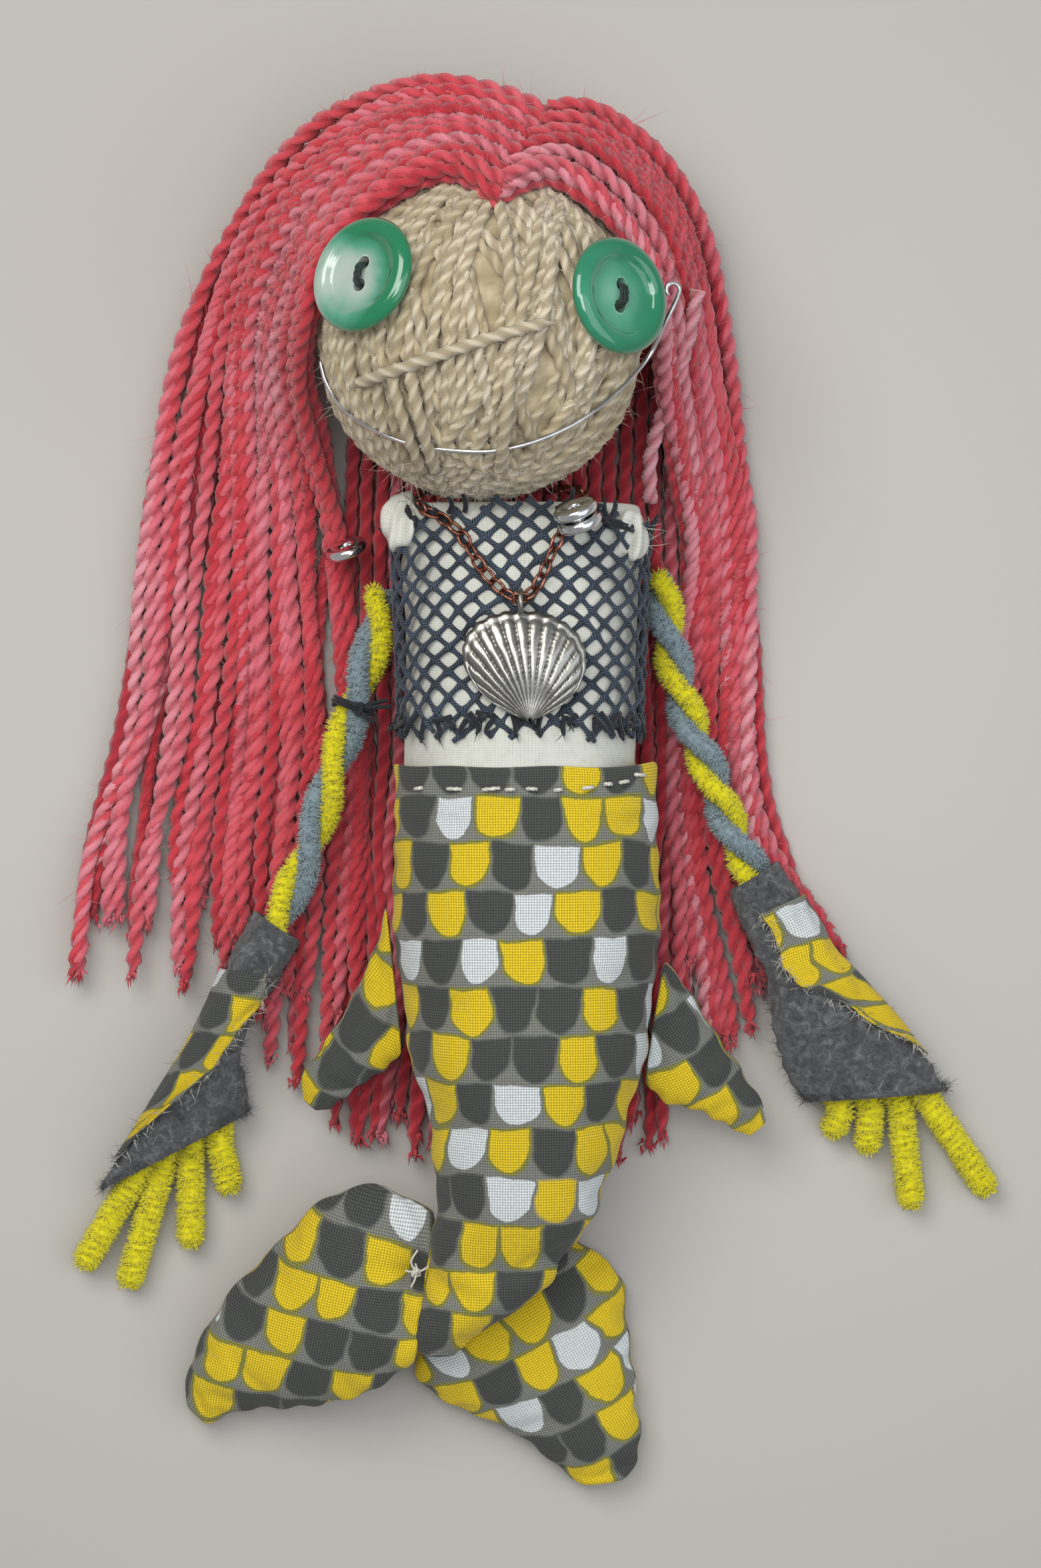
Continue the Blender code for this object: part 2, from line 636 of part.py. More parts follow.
def build_bead(name, centre, lean, parts, mats):
    """Turn one ear bead, seen nearly edge on."""
    half, hole = BEAD_THICKNESS / 2, BEAD_HOLE_RADIUS
    profile = [(hole, half), (BEAD_RADIUS - 0.8, half), (BEAD_RADIUS, 0.0), (BEAD_RADIUS - 0.8, -half)]
    profile += [(hole, -half)]
    bead = turned(name, profile, 10, mats["silver_wire"], parts)
    outward = bead_axis(lean)
    across = np.cross([0.0, 0.0, 1.0], outward)
    across /= np.linalg.norm(across)
    place(bead, centre, across, np.cross(outward, across), outward)


def build_ear_drops(parts, mats):
    """Lay one bead on the hair at the left shoulder and a pair on the chain at the right one."""
    build_bead("ear_drop_left", (-33.0, 44.5, HAIR_DEPTH + BEAD_RADIUS + 2.4), BEAD_LEAN, parts, mats)
    x, y = TORSO_CHEST_WIDTH / 2 * 0.47, SHOULDER_Y - 4.0
    chain_depth = SEAT_GAP + LINK_WIDTH
    first = np.array([x, y, chest_top(x, y) + chain_depth + BEAD_RADIUS + SEAT_GAP])
    step = bead_axis(BEAD_LEAN) * (BEAD_THICKNESS + SEAT_GAP)
    for number in range(2):
        build_bead(f"ear_drop_right_{number + 1}", first + number * step, BEAD_LEAN, parts, mats)


def strand(points, count=60):
    """Give a function that reads a smooth route at v from 0 to 1."""
    fine = spline(points, count)
    places = np.linspace(0, 1, count)

    def read(v):
        return np.array([np.interp(v, places, column) for column in fine.T])

    return read


def lock_rings(inner, outer, span, ribs, stations, end):
    """Make the rings of one lock between two shares of a curtain, ribbed on top like its strands."""
    rings = []
    for i in range(stations):
        v = (i / (stations - 1)) ** HAIR_CROWDING
        depth = along(v, [(0, HAIR_SHEET_ON_HEAD), (0.3, HAIR_SHEET_ON_HEAD), (0.55, HAIR_SHEET), (1, HAIR_SHEET)])
        wide = outer(v) - inner(v)
        edges = []
        for u in span:
            ahead = curtain(inner, outer, u, min(v + 0.01, 1)) - curtain(inner, outer, u, max(v - 0.01, 0))
            normal = np.cross(ahead, wide)
            normal /= np.linalg.norm(normal)
            edges.append((curtain(inner, outer, u, v), normal if normal[2] > 0 else -normal))
        (left, left_up), (right, right_up) = edges
        across = (right - left) / np.linalg.norm(right - left)
        left, right = left + across * SAFE_GAP / 2, right - across * SAFE_GAP / 2
        row = []
        for k in range(2 * ribs + 1):
            share = k / (2 * ribs)
            up = left_up * (1 - share) + right_up * share
            drop = 0.0 if k % 2 else HAIR_RIB_DEPTH
            row.append(left * (1 - share) + right * share - up * drop)
        row += [right - right_up * depth, left - left_up * depth]
        rings.append(np.array(row))
    place = end ** (1 / HAIR_CROWDING) * (stations - 1)
    whole = min(int(place), stations - 2)
    tip = rings[whole] + (rings[whole + 1] - rings[whole]) * (place - whole)
    return jagged(np.array(rings[:whole + 1] + [tip]), ribs, span[0] * 9)


def jagged(rings, ribs, reach):
    """Let the ribs end at unlike lengths, so that the tips look cut by hand."""
    ahead = rings[-1] - rings[-2]
    step = HAIR_JAG / max(np.linalg.norm(ahead[0]), HAIR_JAG)
    for k in range(1, 2 * ribs):
        rings[-1, k] -= ahead[k] * step * (0.5 + 0.5 * math.sin(2.4 * k + reach))
    return rings


def curtain(inner, outer, u, v):
    """Give a point of a hair curtain: u from the inner strand to the outer, v from root to tip."""
    return inner(v) * (1 - u) + outer(v) * u


def over_head(spots):
    """Lift places, given in shares of the head's radius, far enough for a curtain to clear the ball."""
    return [on_head(x * HEAD_RADIUS, y * HEAD_RADIUS, HAIR_SHEET_ON_HEAD + HAIR_LIFT) for x, y in spots]


def build_hair(parts, mats):
    """Lay the locks: left and right curtains from the parting, and a bed behind head and body."""
    crown = HEAD_CENTRE + (12.7, 44.0, -6.5)
    top = HAIR_DEPTH
    left_inner = over_head([(0.07, 0.88), (-0.22, 0.99), (-0.58, 0.83), (-0.96, 0.5), (-1.11, 0.07)])
    left_inner += [(HEAD_X - 35, HEAD_Y - 11, 31), (HEAD_X - 31.5, HEAD_Y - 24, 18), (-34, 43, top + 1.5)]
    left_inner += [(-31, 20, top), (-30, -25, top), (-29, -70, top)]
    left_outer = [crown - (1, 0, 0), (-17, HEAD_Y + 49.5, 27), (-35.5, HEAD_Y + 44.5, 20), (-50, HEAD_Y + 33, 14)]
    left_outer += [(-59.5, HEAD_Y + 18, 9), (-66.5, HEAD_Y - 4, top), (-70.5, 60, top), (-73, 36, top)]
    left_outer += [(-78.5, 6, top), (-85, -37, top)]
    ends = (1.0, 0.97, 0.93, 0.9, 0.93, 0.99)
    locks(parts, mats, "left", left_inner, left_outer, HAIR_LEFT_LOCKS, ends)
    right_inner = over_head([(0.16, 0.87), (0.47, 0.95), (0.8, 0.72), (1.05, 0.4), (1.13, 0.05)])
    right_inner += [(HEAD_X + 35, HEAD_Y - 11, 32), (HEAD_X + 37.5, HEAD_Y - 24, 19), (32.5, 43, top + 1.5)]
    right_inner += [(30.5, 20, top), (29.8, -15, top), (31, -56, top)]
    right_outer = [crown + (2.6, 0, 0), (16, HEAD_Y + 42, 26), (27, HEAD_Y + 35.5, 19), (35, HEAD_Y + 24, 12)]
    right_outer += [(39.5, HEAD_Y + 9, 8), (42, HEAD_Y - 8, top), (43.5, 54, top), (44.5, 30, top)]
    right_outer += [(47.5, -4, top), (63.5, -33, top)]
    locks(parts, mats, "right", right_inner, right_outer, HAIR_RIGHT_LOCKS, (0.97, 1.0, 0.95, 0.98))
    build_hair_bed(parts, mats)


def locks(parts, mats, side, inner, outer, count, ends):
    """Split one curtain into locks of equal share, each with its own length."""
    inner, outer = strand(inner), strand(outer)
    for number in range(count):
        span = (number / count, (number + 1) / count)
        rings = lock_rings(inner, outer, span, LOCK_RIBS, 13, ends[number % len(ends)])
        colour = "pink_yarn" if number % 3 == 1 else "red_yarn"
        new_mesh(f"hair_{side}_{number + 1}", *lock_skin(rings), mats[colour], parts, flat=True)


def build_hair_bed(parts, mats):
    """Lay the back locks: up round the back of the head, and flat on the ground under the body."""
    for number in range(HAIR_BACK_LOCKS):
        span = [2 * (number + end) / HAIR_BACK_LOCKS - 1 for end in (0, 1)]
        tip = HAIR_BACK_TIP_Y + 7.0 * (number % 3)
        rings = [bed_ring(span, y, 0.0) for y in (tip, tip + 40, 25, HEAD_Y - 12, HEAD_Y)]
        rings += [bed_ring(span, HEAD_Y, math.radians(turn)) for turn in (18, 36, 54, 70)]
        colour = "pink_yarn" if number == 3 else "red_yarn"
        new_mesh(f"hair_back_{number + 1}", *lock_skin(np.array(rings)), mats[colour], parts, flat=True)


def bed_ring(span, y, turn):
    """Make one ring of a back lock, turned up round the head past the middle of the ball."""
    narrow = math.cos(turn) ** 0.5
    middle = (HEAD_X + 3.0) * (1 - narrow)
    low, high = [middle + share * HAIR_BACK_WIDTH / 2 * narrow for share in span]
    low, high = low + SAFE_GAP / 2, high - SAFE_GAP / 2
    near, far = HEAD_RADIUS + SEAT_GAP, HEAD_RADIUS + SEAT_GAP + HAIR_DEPTH
    row = [(low + (high - low) * k / (2 * LOCK_RIBS), near + (0.0 if k % 2 else HAIR_RIB_DEPTH))
           for k in range(2 * LOCK_RIBS + 1)]
    row += [(high, far), (low, far)]
    return [(x, y + r * math.sin(turn), HEAD_Z - r * math.cos(turn)) for x, r in row]


def helix(route, pitch, phase, per_turn):
    """Wind one stem round a route, so that two of them with opposite phases make a twisted pair."""
    fine = spline(route, 200)
    run = np.concatenate([[0.0], np.cumsum(np.linalg.norm(np.diff(fine, axis=0), axis=1))])
    count = max(int(run[-1] / pitch * per_turn), 8) + 1
    places = np.linspace(0, run[-1], count)
    centre = np.column_stack([np.interp(places, run, column) for column in fine.T])
    ahead = np.gradient(centre, axis=0)
    ahead /= np.linalg.norm(ahead, axis=1)[:, None]
    side = np.cross(ahead, [0.0, 0.0, 1.0])
    side /= np.linalg.norm(side, axis=1)[:, None]
    up = np.cross(side, ahead)
    turn = (places / pitch * math.tau + phase)[:, None]
    return centre + STEM_OFFSET * (side * np.cos(turn) + up * np.sin(turn))


def build_arms(parts, mats):
    """Twist two pipe cleaners into each arm, from the side of the chest into the sleeve."""
    side_x = TORSO_CHEST_WIDTH / 2 + ARM_RADIUS
    shapes = sleeve_shapes()
    left = [(-side_x + 0.2, 37, 13.6), (-side_x - 0.6, 29, 14.5), (-29.6, 21, 15.5), (-32, 13, 15.8)]
    left += [(-36.6, -1, 14.2), (-40.6, -14, 12.8)] + [sleeve_middle(shapes["left"], s) for s in (0.0, 0.08)]
    right = [(side_x - 0.2, 40, 13.6), (side_x + 0.8, 31, 14.5), (29.6, 20, 15.5), (32.2, 11, 15.8)]
    right += [(36.3, 1, 14.6), (40.4, -9.5, 13)] + [sleeve_middle(shapes["right"], s) for s in (0.0, 0.08)]
    for side, route, pitch, steps in (("left", left, ARM_LEFT_PITCH, 8), ("right", right, ARM_RIGHT_PITCH, 6)):
        for colour, phase in (("yellow", 0.0), ("grey", math.pi)):
            points = helix(route, pitch, phase + 0.6, steps)
            new_tube(f"arm_{side}_{colour}", points, STEM_RADIUS, mats[f"{colour}_chenille"], parts)


def sleeve_shapes():
    """Give each sleeve's outer and inner edges in plan, its heights and its fingers."""
    left = {
        "outer": [(-50.8, -23.8), (-55.4, -33.4), (-59.6, -43.5), (-67.5, -57), (-81.3, -78.2)],
        "inner": [(-42.0, -29.8), (-46.4, -37.8), (-50.9, -44.0), (-53.2, -52), (-51.2, -62.5)],
        "fingers": [(0.265, (-84, -92.5)), (0.45, (-75.3, -96.4)), (0.62, (-63.2, -88.6)), (0.79, (-55.5, -78.3))],
        "print": (0.36, 0.86, 25, 172),
    }
    right = {
        "outer": [(49.2, -14.4), (52.8, -21.2), (59, -31.5), (70, -43.5), (82.6, -58.6)],
        "inner": [(39.6, -20.4), (42.2, -27.5), (46.6, -37), (48.6, -49), (53.6, -60.8)],
        "fingers": [(0.77, (59.4, -67.4)), (0.58, (66.4, -70.6)), (0.39, (75.0, -81.2)), (0.2, (89.8, -78.4))],
        "print": (0.16, 0.84, 80, 172),
    }
    return {"left": left, "right": right}


def sleeve_edges(shape, s):
    """Give a sleeve's outer and inner edge points in plan at s from wrist to mouth."""
    return strand(shape["outer"])(s), strand(shape["inner"])(s)


def sleeve_height(s):
    """Give the height of a sleeve's middle at s."""
    return along(s, [(0, 11.6), (0.45, 11.2), (1, 5.4)])


def sleeve_middle(shape, s):
    """Give the middle of a sleeve at s."""
    outer, inner = sleeve_edges(shape, s)
    return (*((outer + inner) / 2), sleeve_height(s))


def sleeve_ring(shape, s, grow, angles):
    """Make one cross-section of a sleeve at s from wrist to mouth."""
    outer, inner = sleeve_edges(shape, s)
    middle, half = (outer + inner) / 2, (inner - outer) / 2
    half = half * (1 + grow / np.linalg.norm(half))
    z = sleeve_height(s)
    c, d = squircle(angles, SLEEVE_POWER)
    deep = SLEEVE_HALF_DEPTH + grow
    return np.column_stack([middle[0] + half[0] * c, middle[1] + half[1] * c, z + deep * d])


def build_sleeves(parts, mats):
    """Make the open felt sleeves, the print cloth on them and the fingers in their mouths."""
    round_trip = np.arange(12) / 12 * math.tau
    stations = np.linspace(0, 1, 6)
    for side, shape in sleeve_shapes().items():
        rings = [sleeve_ring(shape, s, 0.0, round_trip) for s in stations]
        rings += [sleeve_ring(shape, s, -SLEEVE_WALL, round_trip) for s in stations[::-1]]
        new_mesh(f"sleeve_{side}", *skin(rings, wrap=True), mats["felt"], parts)
        start, stop, low, high = shape["print"]
        span = np.radians(np.linspace(high, low, 7))
        rings = []
        for s in np.linspace(start, stop, 6):
            over = sleeve_ring(shape, s, SAFE_GAP + PRINT_THICKNESS, span)
            under = sleeve_ring(shape, s, SAFE_GAP, span)
            rings.append(np.vstack([over, under[::-1]]))
        new_mesh(f"sleeve_print_{side}", *skin(rings), mats["print_cloth"], parts)
        for number, (share, tip) in enumerate(shape["fingers"], start=1):
            points = finger_points(shape, share, tip)
            name = f"finger_{side}_{number}"
            new_tube(name, points, FINGER_RADIUS, mats["yellow_chenille"], parts, round_ends=True)


def finger_points(shape, share, tip):
    """Run a finger from where it lies in the sleeve's mouth to its tip near the ground."""
    outer, inner = sleeve_edges(shape, FINGER_ROOT)
    half = np.linalg.norm(inner - outer) / 2 - SLEEVE_WALL
    angles = np.linspace(math.pi, math.tau, 9)
    reach = FINGER_RADIUS + SAFE_GAP
    aside = np.clip(np.abs((share - 0.5) * 2 * (half + SLEEVE_WALL) + reach * np.cos(angles)) / half, 0, 0.99)
    wall = (SLEEVE_HALF_DEPTH - SLEEVE_WALL) * (1 - aside ** SLEEVE_POWER) ** (1 / SLEEVE_POWER)
    height = sleeve_height(FINGER_ROOT) + (-wall - reach * np.sin(angles)).max()
    root = np.array([*(outer + (inner - outer) * share), height])
    tip = np.array([*tip, FINGER_RADIUS + FINGER_TIP_RISE])
    near, far = [np.array(sleeve_edges(shape, s)) for s in (0.8, 1.0)]
    run = (far - near).T @ [1 - share, share]
    leave = root + np.array([*run, 0.0]) / np.linalg.norm(run) * FINGER_STRAIGHT
    ahead = (tip - leave) / np.linalg.norm(tip - leave)
    return [root, root * 0.7 + leave * 0.3, leave, (leave + tip) / 2, tip - ahead * FINGER_TAPER, tip]


def tail_at(t):
    """Give the tail's centre x, y and z, half width and half depth at t from hem to end."""
    y = WAIST_Y - TAIL_LENGTH * t
    wide = along(t, [(0, 0.955), (0.25, 1.0), (0.46, 0.9), (0.62, 0.715), (0.74, 0.6), (0.86, 0.47), (1, 0.2)])
    x = along(t, [(0, 1.0), (0.6, 1.4), (0.74, -0.5), (0.84, -5.0), (1, -15.5)])
    deep = along(t, [(0, 1.0), (0.45, 0.96), (0.72, 0.66), (0.86, 0.47), (1, 0.22)])
    end_z = FLUKE_REST + FLUKE_DEPTH + SEAT_GAP + BODY_HALF_DEPTH * 0.42
    z = along(t, [(0, BODY_Z), (0.62, BODY_Z), (0.88, end_z), (1, end_z - 0.8)])
    return x, y, z, TAIL_WIDTH / 2 * wide, BODY_HALF_DEPTH * deep


def tail_ring(t):
    """Make the tail's cross-section at t."""
    x, y, z, wide, deep = tail_at(t)
    return ring_between((x - wide, y), (x + wide, y), z, deep, BODY_SIDES, 2.3)


def build_tail(parts, mats):
    """Loft the stuffed tail, with the socket at its hem that the torso goes in."""
    rings = [tail_ring(t) for t in (1, 0.95, 0.86, 0.76, 0.66, 0.55, 0.42, 0.28, 0.12, 0)]
    rings += [torso_ring(y, BODY_SIDES, grow=SAFE_GAP) for y in (WAIST_Y, WAIST_Y - TORSO_IN_TAIL - SAFE_GAP)]
    new_mesh("tail", *skin(rings), mats["print_cloth"], parts)


def build_fins(parts, mats):
    """Stuff the two hip fins, which stand off the tail's side seams."""
    fins = {
        "left": (-1, [(-27.6, -31), (-33.4, -43), (-40.8, -54.4), (-41.4, -59.8)],
                 [(-25.6, -54), (-30.4, -57), (-35.4, -61), (-38.6, -62.2)], 22.5, 50.5),
        "right": (1, [(30.4, -37), (36, -45.5), (44.4, -58), (47.0, -64.0)],
                  [(27.4, -60.2), (33, -61.6), (39.7, -65), (43.4, -67)], 33.0, 56.0),
    }
    for side, (sign, upper, lower, first, last) in fins.items():
        roots = []
        for down in (first, last):
            x, _, _, wide, _ = tail_at((down + WAIST_Y) / TAIL_LENGTH)
            roots.append((x + sign * (wide + SAFE_GAP + 0.3), -down))
        upper_edge, lower_edge = spline([roots[0]] + upper, 8), spline([roots[1]] + lower, 8)
        rings = []
        for i, (a, b) in enumerate(zip(upper_edge, lower_edge)):
            t = i / 7
            deep = FIN_DEPTH / 2 * along(t, [(0, 0.7), (0.4, 1.0), (0.8, 0.8), (1, 0.3)])
            rings.append(ring_between(a, b, BODY_Z - 4 - 7 * t, deep, 10))
        new_mesh(f"hip_fin_{side}", *skin(rings), mats["print_cloth"], parts)


def build_flukes(parts, mats):
    """Stuff the two flukes: the left beside the tail's end, and the right under it."""
    flukes = {
        "left": ([(-16.8, -80.5), (-27, -75.8), (-37, -78.4), (-46, -87.0), (-56, -97.6), (-62.8, -110), (-64, -119)],
                 [(-21.4, -109), (-28.3, -114.9), (-36, -117.4), (-43, -118.6), (-50, -119), (-56, -120.5),
                  (-60, -122.6)], 19.0, 4.6),
        "right": ([(6, -84.5), (13, -88.2), (19.2, -94), (20.6, -104), (22.2, -116), (22.8, -127), (20, -133.1)],
                  [(-19.5, -104), (-19.8, -113), (-13, -118.6), (-5, -122), (1, -125.4), (6.3, -129.8),
                   (12, -134.2)], 7.3, 4.8),
    }
    for side, (upper, lower, first, last) in flukes.items():
        upper_edge, lower_edge = spline(upper, 10), spline(lower, 10)
        rings = []
        for i, (a, b) in enumerate(zip(upper_edge, lower_edge)):
            t = i / 9
            deep = FLUKE_DEPTH / 2 * along(t, [(0, 0.72), (0.3, 1.0), (0.75, 0.75), (1, 0.3)])
            rings.append(ring_between(a, b, first + (last - first) * t, deep, 12))
        new_mesh(f"fluke_{side}", *skin(rings), mats["print_cloth"], parts)


def main():
    """Clear the scene and build the doll."""
    for thing in list(bpy.data.objects):
        bpy.data.objects.remove(thing, do_unlink=True)
    parts, cutters = new_collection("mermaid_doll"), new_collection("cutters")
    mats = finishes()
    build_head(parts, mats)
    build_face_strand(parts, mats)
    build_mouth(parts, mats)
    build_eye("left", EYE_LEFT_SPOT, EYE_LEFT_TILT, EYE_LEFT_STITCH_TURN, parts, cutters, mats)
    build_eye("right", EYE_RIGHT_SPOT, EYE_RIGHT_TILT, EYE_RIGHT_STITCH_TURN, parts, cutters, mats)
    build_torso(parts, mats)
    build_net(parts, mats)
    build_chain(parts, mats)
    build_pendant(parts, mats)
    build_ear_drops(parts, mats)
    build_hair(parts, mats)
    build_arms(parts, mats)
    build_sleeves(parts, mats)
    build_tail(parts, mats)
    build_fins(parts, mats)
    build_flukes(parts, mats)


main()
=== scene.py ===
import logging
import math
from dataclasses import dataclass, field
from enum import Enum
from functools import partial
from typing import Any, Callable, Sequence

import bpy
import numpy as np
from mathutils import Matrix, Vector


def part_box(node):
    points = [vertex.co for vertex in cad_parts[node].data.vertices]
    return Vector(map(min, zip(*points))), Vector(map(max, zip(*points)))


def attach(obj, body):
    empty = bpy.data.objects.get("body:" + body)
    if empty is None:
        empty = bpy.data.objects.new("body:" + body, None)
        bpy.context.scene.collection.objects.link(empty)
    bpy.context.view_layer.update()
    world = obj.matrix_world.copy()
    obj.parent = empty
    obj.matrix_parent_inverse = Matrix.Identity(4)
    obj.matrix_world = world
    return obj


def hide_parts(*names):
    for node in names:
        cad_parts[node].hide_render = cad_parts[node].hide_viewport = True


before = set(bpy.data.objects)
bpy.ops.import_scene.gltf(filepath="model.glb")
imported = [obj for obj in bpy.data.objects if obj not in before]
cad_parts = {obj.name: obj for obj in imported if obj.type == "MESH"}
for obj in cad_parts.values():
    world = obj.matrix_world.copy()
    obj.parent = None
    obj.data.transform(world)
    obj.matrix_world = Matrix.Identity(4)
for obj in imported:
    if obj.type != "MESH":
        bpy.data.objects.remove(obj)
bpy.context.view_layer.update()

LOG = logging.getLogger("mermaid_doll")
Array = np.ndarray
Dice = np.random.Generator
Material = bpy.types.Material
Thing = bpy.types.Object
Node = bpy.types.Node
Add = Callable[..., Node]
Stops = Sequence[tuple[float, float]]
MM = 0.001
TAU = math.tau
norm = np.linalg.norm

# Sizes that the looks share with the solids, in millimetres.
HEAD_RADIUS = 30.0
HAIR_TOP = 6.0
WAIST_Y = 3.0
TORSO_LENGTH = 49.0
CHEST_WIDTH = 46.4
WAIST_WIDTH = 42.6
TORSO_DEPTH = 30.0
SEAT_GAP = 0.3
SAFE_GAP = 0.5
HEM_WALL = 1.3
BODY_HALF_DEPTH = TORSO_DEPTH / 2 + SAFE_GAP + HEM_WALL
BODY_Z = HAIR_TOP + SEAT_GAP + BODY_HALF_DEPTH
SHOULDER_Y = WAIST_Y + TORSO_LENGTH
HEAD_CENTRE = np.array([-7.5, SHOULDER_Y + 1.1 + SEAT_GAP + HEAD_RADIUS, HAIR_TOP + SEAT_GAP + HEAD_RADIUS])
BODY_POWER = 2.5
TWISTED = np.array([1.0, 0.85, 0.7, 0.85, 1.0, 0.85, 0.7, 0.85])  # a two-ply thread's radius at eight sides


def smooth_noise(points: Array, size: float, seed: int) -> Array:
    """Give smooth values of about -1 to 1: ten sine waves in random directions, added.

    Args:
        points: Places in millimetres, with the coordinates last.
        size: The typical distance between bumps.
        seed: The seed of the directions.

    Returns:
        One value for each place.
    """
    dice = np.random.default_rng(seed)
    ways = dice.normal(size=(10, 3))
    ways *= TAU / (size * 1.6) / norm(ways, axis=1)[:, None] * dice.uniform(0.6, 1.4, (10, 1))
    return np.sin(points @ ways.T + dice.uniform(0, TAU, 10)).sum(axis=-1) / 3.0


def eased(t: Array | float, stops: Stops) -> Array:
    """Read values between (t, value) stops, each span following 3s^2 - 2s^3."""
    places, values = (np.array(column, dtype=float) for column in zip(*stops))
    index = np.clip(np.searchsorted(places, t) - 1, 0, len(places) - 2)
    share = np.clip((t - places[index]) / (places[index + 1] - places[index]), 0.0, 1.0)
    return values[index] + (values[index + 1] - values[index]) * share * share * (3 - 2 * share)


def xyz(*parts: Array | float) -> Array:
    """Stack coordinates on a last axis, all spread to one shape."""
    return np.stack(np.broadcast_arrays(*parts), axis=-1)


def circle(count: int) -> Array:
    """Give the angles of a full turn in equal steps."""
    return np.arange(count) / count * TAU


def around(angle: Array, side: Array, up: Array) -> Array:
    """Give cos(angle) side + sin(angle) up."""
    return np.cos(angle)[..., None] * side + np.sin(angle)[..., None] * up


def ball_points(fall: Array, angle: Array) -> Array:
    """Give the points of a ball of radius 1 at the angles from its +Y pole and round it."""
    return xyz(np.sin(fall) * np.sin(angle), np.cos(fall), np.sin(fall) * np.cos(angle))


def unit(vectors: Array) -> Array:
    """Make vectors one long."""
    return vectors / np.maximum(norm(vectors, axis=-1, keepdims=True), 1e-9)


def square_to(vectors: Array, ahead: Array) -> Array:
    """Take their part along ahead from vectors, and make them one long."""
    return unit(vectors - (vectors * ahead).sum(axis=-1, keepdims=True) * ahead)


def run_along(paths: Array) -> Array:
    """Give how far each point of a path lies from its start."""
    step = norm(np.diff(paths, axis=-2), axis=-1)
    return np.concatenate([0 * step[..., :1], np.cumsum(step, axis=-1)], axis=-1)


def read_at(places: Array, run: Array, line: Array) -> Array:
    """Read each coordinate of a line, whose points lie at run, at the places."""
    return np.stack([np.interp(places, run, column) for column in line.T], axis=-1)


def evenly(line: Array, count: int) -> Array:
    """Place count points at equal distances along a line of points."""
    run = run_along(line)
    return read_at(np.linspace(0, run[-1], count), run, line)


def curve_through(knots: Sequence, count: int) -> Array:
    """Give count evenly spaced points on the Catmull-Rom curve through the knots."""
    inner = np.asarray(knots, dtype=float)
    ends = np.vstack([2 * inner[0] - inner[1], inner, 2 * inner[-1] - inner[-2]])
    a, b, c, d = ends[:-3, None], ends[1:-2, None], ends[2:-1, None], ends[3:, None]
    t = np.linspace(0, 1, 24, endpoint=False)[None, :, None]
    bend, twist = 2 * a - 5 * b + 4 * c - d, -a + 3 * b - 3 * c + d
    fine = 0.5 * (2 * b + (c - a) * t + bend * t ** 2 + twist * t ** 3)
    return evenly(np.vstack([fine.reshape(-1, inner.shape[1]), inner[-1:]]), count)


@dataclass
class Surface:
    """The faces of one piece in mm, with a UV pair for each corner and values for each point."""

    points: Array
    quads: Array
    tris: Array
    uv: Array
    values: dict[str, Array] = field(default_factory=dict)

    def mark(self, **values: Array | float) -> "Surface":
        """Give the points named values, one for all of them or one for each."""
        self.values.update({key: np.broadcast_to(value, len(self.points)) for key, value in values.items()})
        return self

    def above(self, height: float) -> "Surface":
        """Lift the points that lie below a height to it."""
        self.points[:, 2] = np.maximum(self.points[:, 2], height)
        return self

    def faced_out(self) -> "Surface":
        """Turn a closed surface's faces round where the sign of its volume says that they look inwards."""
        middle = self.points.mean(axis=0)
        corners = np.vstack([self.quads[:, [0, 1, 2]], self.quads[:, [0, 2, 3]], self.tris])
        a, b, c = (self.points[corners[:, k]] - middle for k in range(3))
        if (np.cross(a, b) * c).sum() < 0:
            halves = np.split(self.uv, [4 * len(self.quads)])
            self.quads, self.tris = self.quads[:, ::-1], self.tris[:, ::-1]
            self.uv = np.vstack([part.reshape(-1, n, 2)[:, ::-1].reshape(-1, 2)
                                 for part, n in zip(halves, (4, 3))])
        return self


def grid_surface(points: Array, wrap_rows: bool = False, wrap_columns: bool = True, capped: bool = False,
                 uv: Array | None = None) -> Surface:
    """Join a grid of points by quads, which look along (next column) x (next row).

    Args:
        points: Rows by columns by three coordinates.
        wrap_rows: Join the last row to the first.
        wrap_columns: Join the last column to the first.
        capped: Close the first and last row by a fan of triangles round its middle.
        uv: UV pairs for (rows + 1) by (columns + 1) places, or None for row and column shares.

    Returns:
        The surface.
    """
    rows, columns, _ = points.shape
    row_spans, column_spans = rows if wrap_rows else rows - 1, columns if wrap_columns else columns - 1
    i, j = (index.ravel() for index in np.indices((row_spans, column_spans)))
    row, after_row, after = i * columns, (i + 1) % rows * columns, (j + 1) % columns
    quads = np.column_stack([row + j, row + after, after_row + after, after_row + j])
    if uv is None:
        uv = xyz(np.arange(rows + 1)[:, None] / row_spans, np.arange(columns + 1) / column_spans)
    corners = np.stack([uv[i, j], uv[i, j + 1], uv[i + 1, j + 1], uv[i + 1, j]], axis=1).reshape(-1, 2)
    flat = points.reshape(-1, 3)
    tris = np.zeros((0, 3), dtype=int)
    if capped:
        ring = np.arange(columns)
        after, last = (ring + 1) % columns, (rows - 1) * columns + ring
        tris = np.vstack([np.column_stack([0 * ring + len(flat), after, ring]),
                          np.column_stack([0 * ring + len(flat) + 1, last, last[0] + after])])
        flat = np.vstack([flat, points[0].mean(axis=0), points[-1].mean(axis=0)])
        corners = np.vstack([corners, *(np.repeat(uv[k, :1], 3 * columns, axis=0) for k in (0, rows - 1))])
    return Surface(flat, quads, tris, corners)


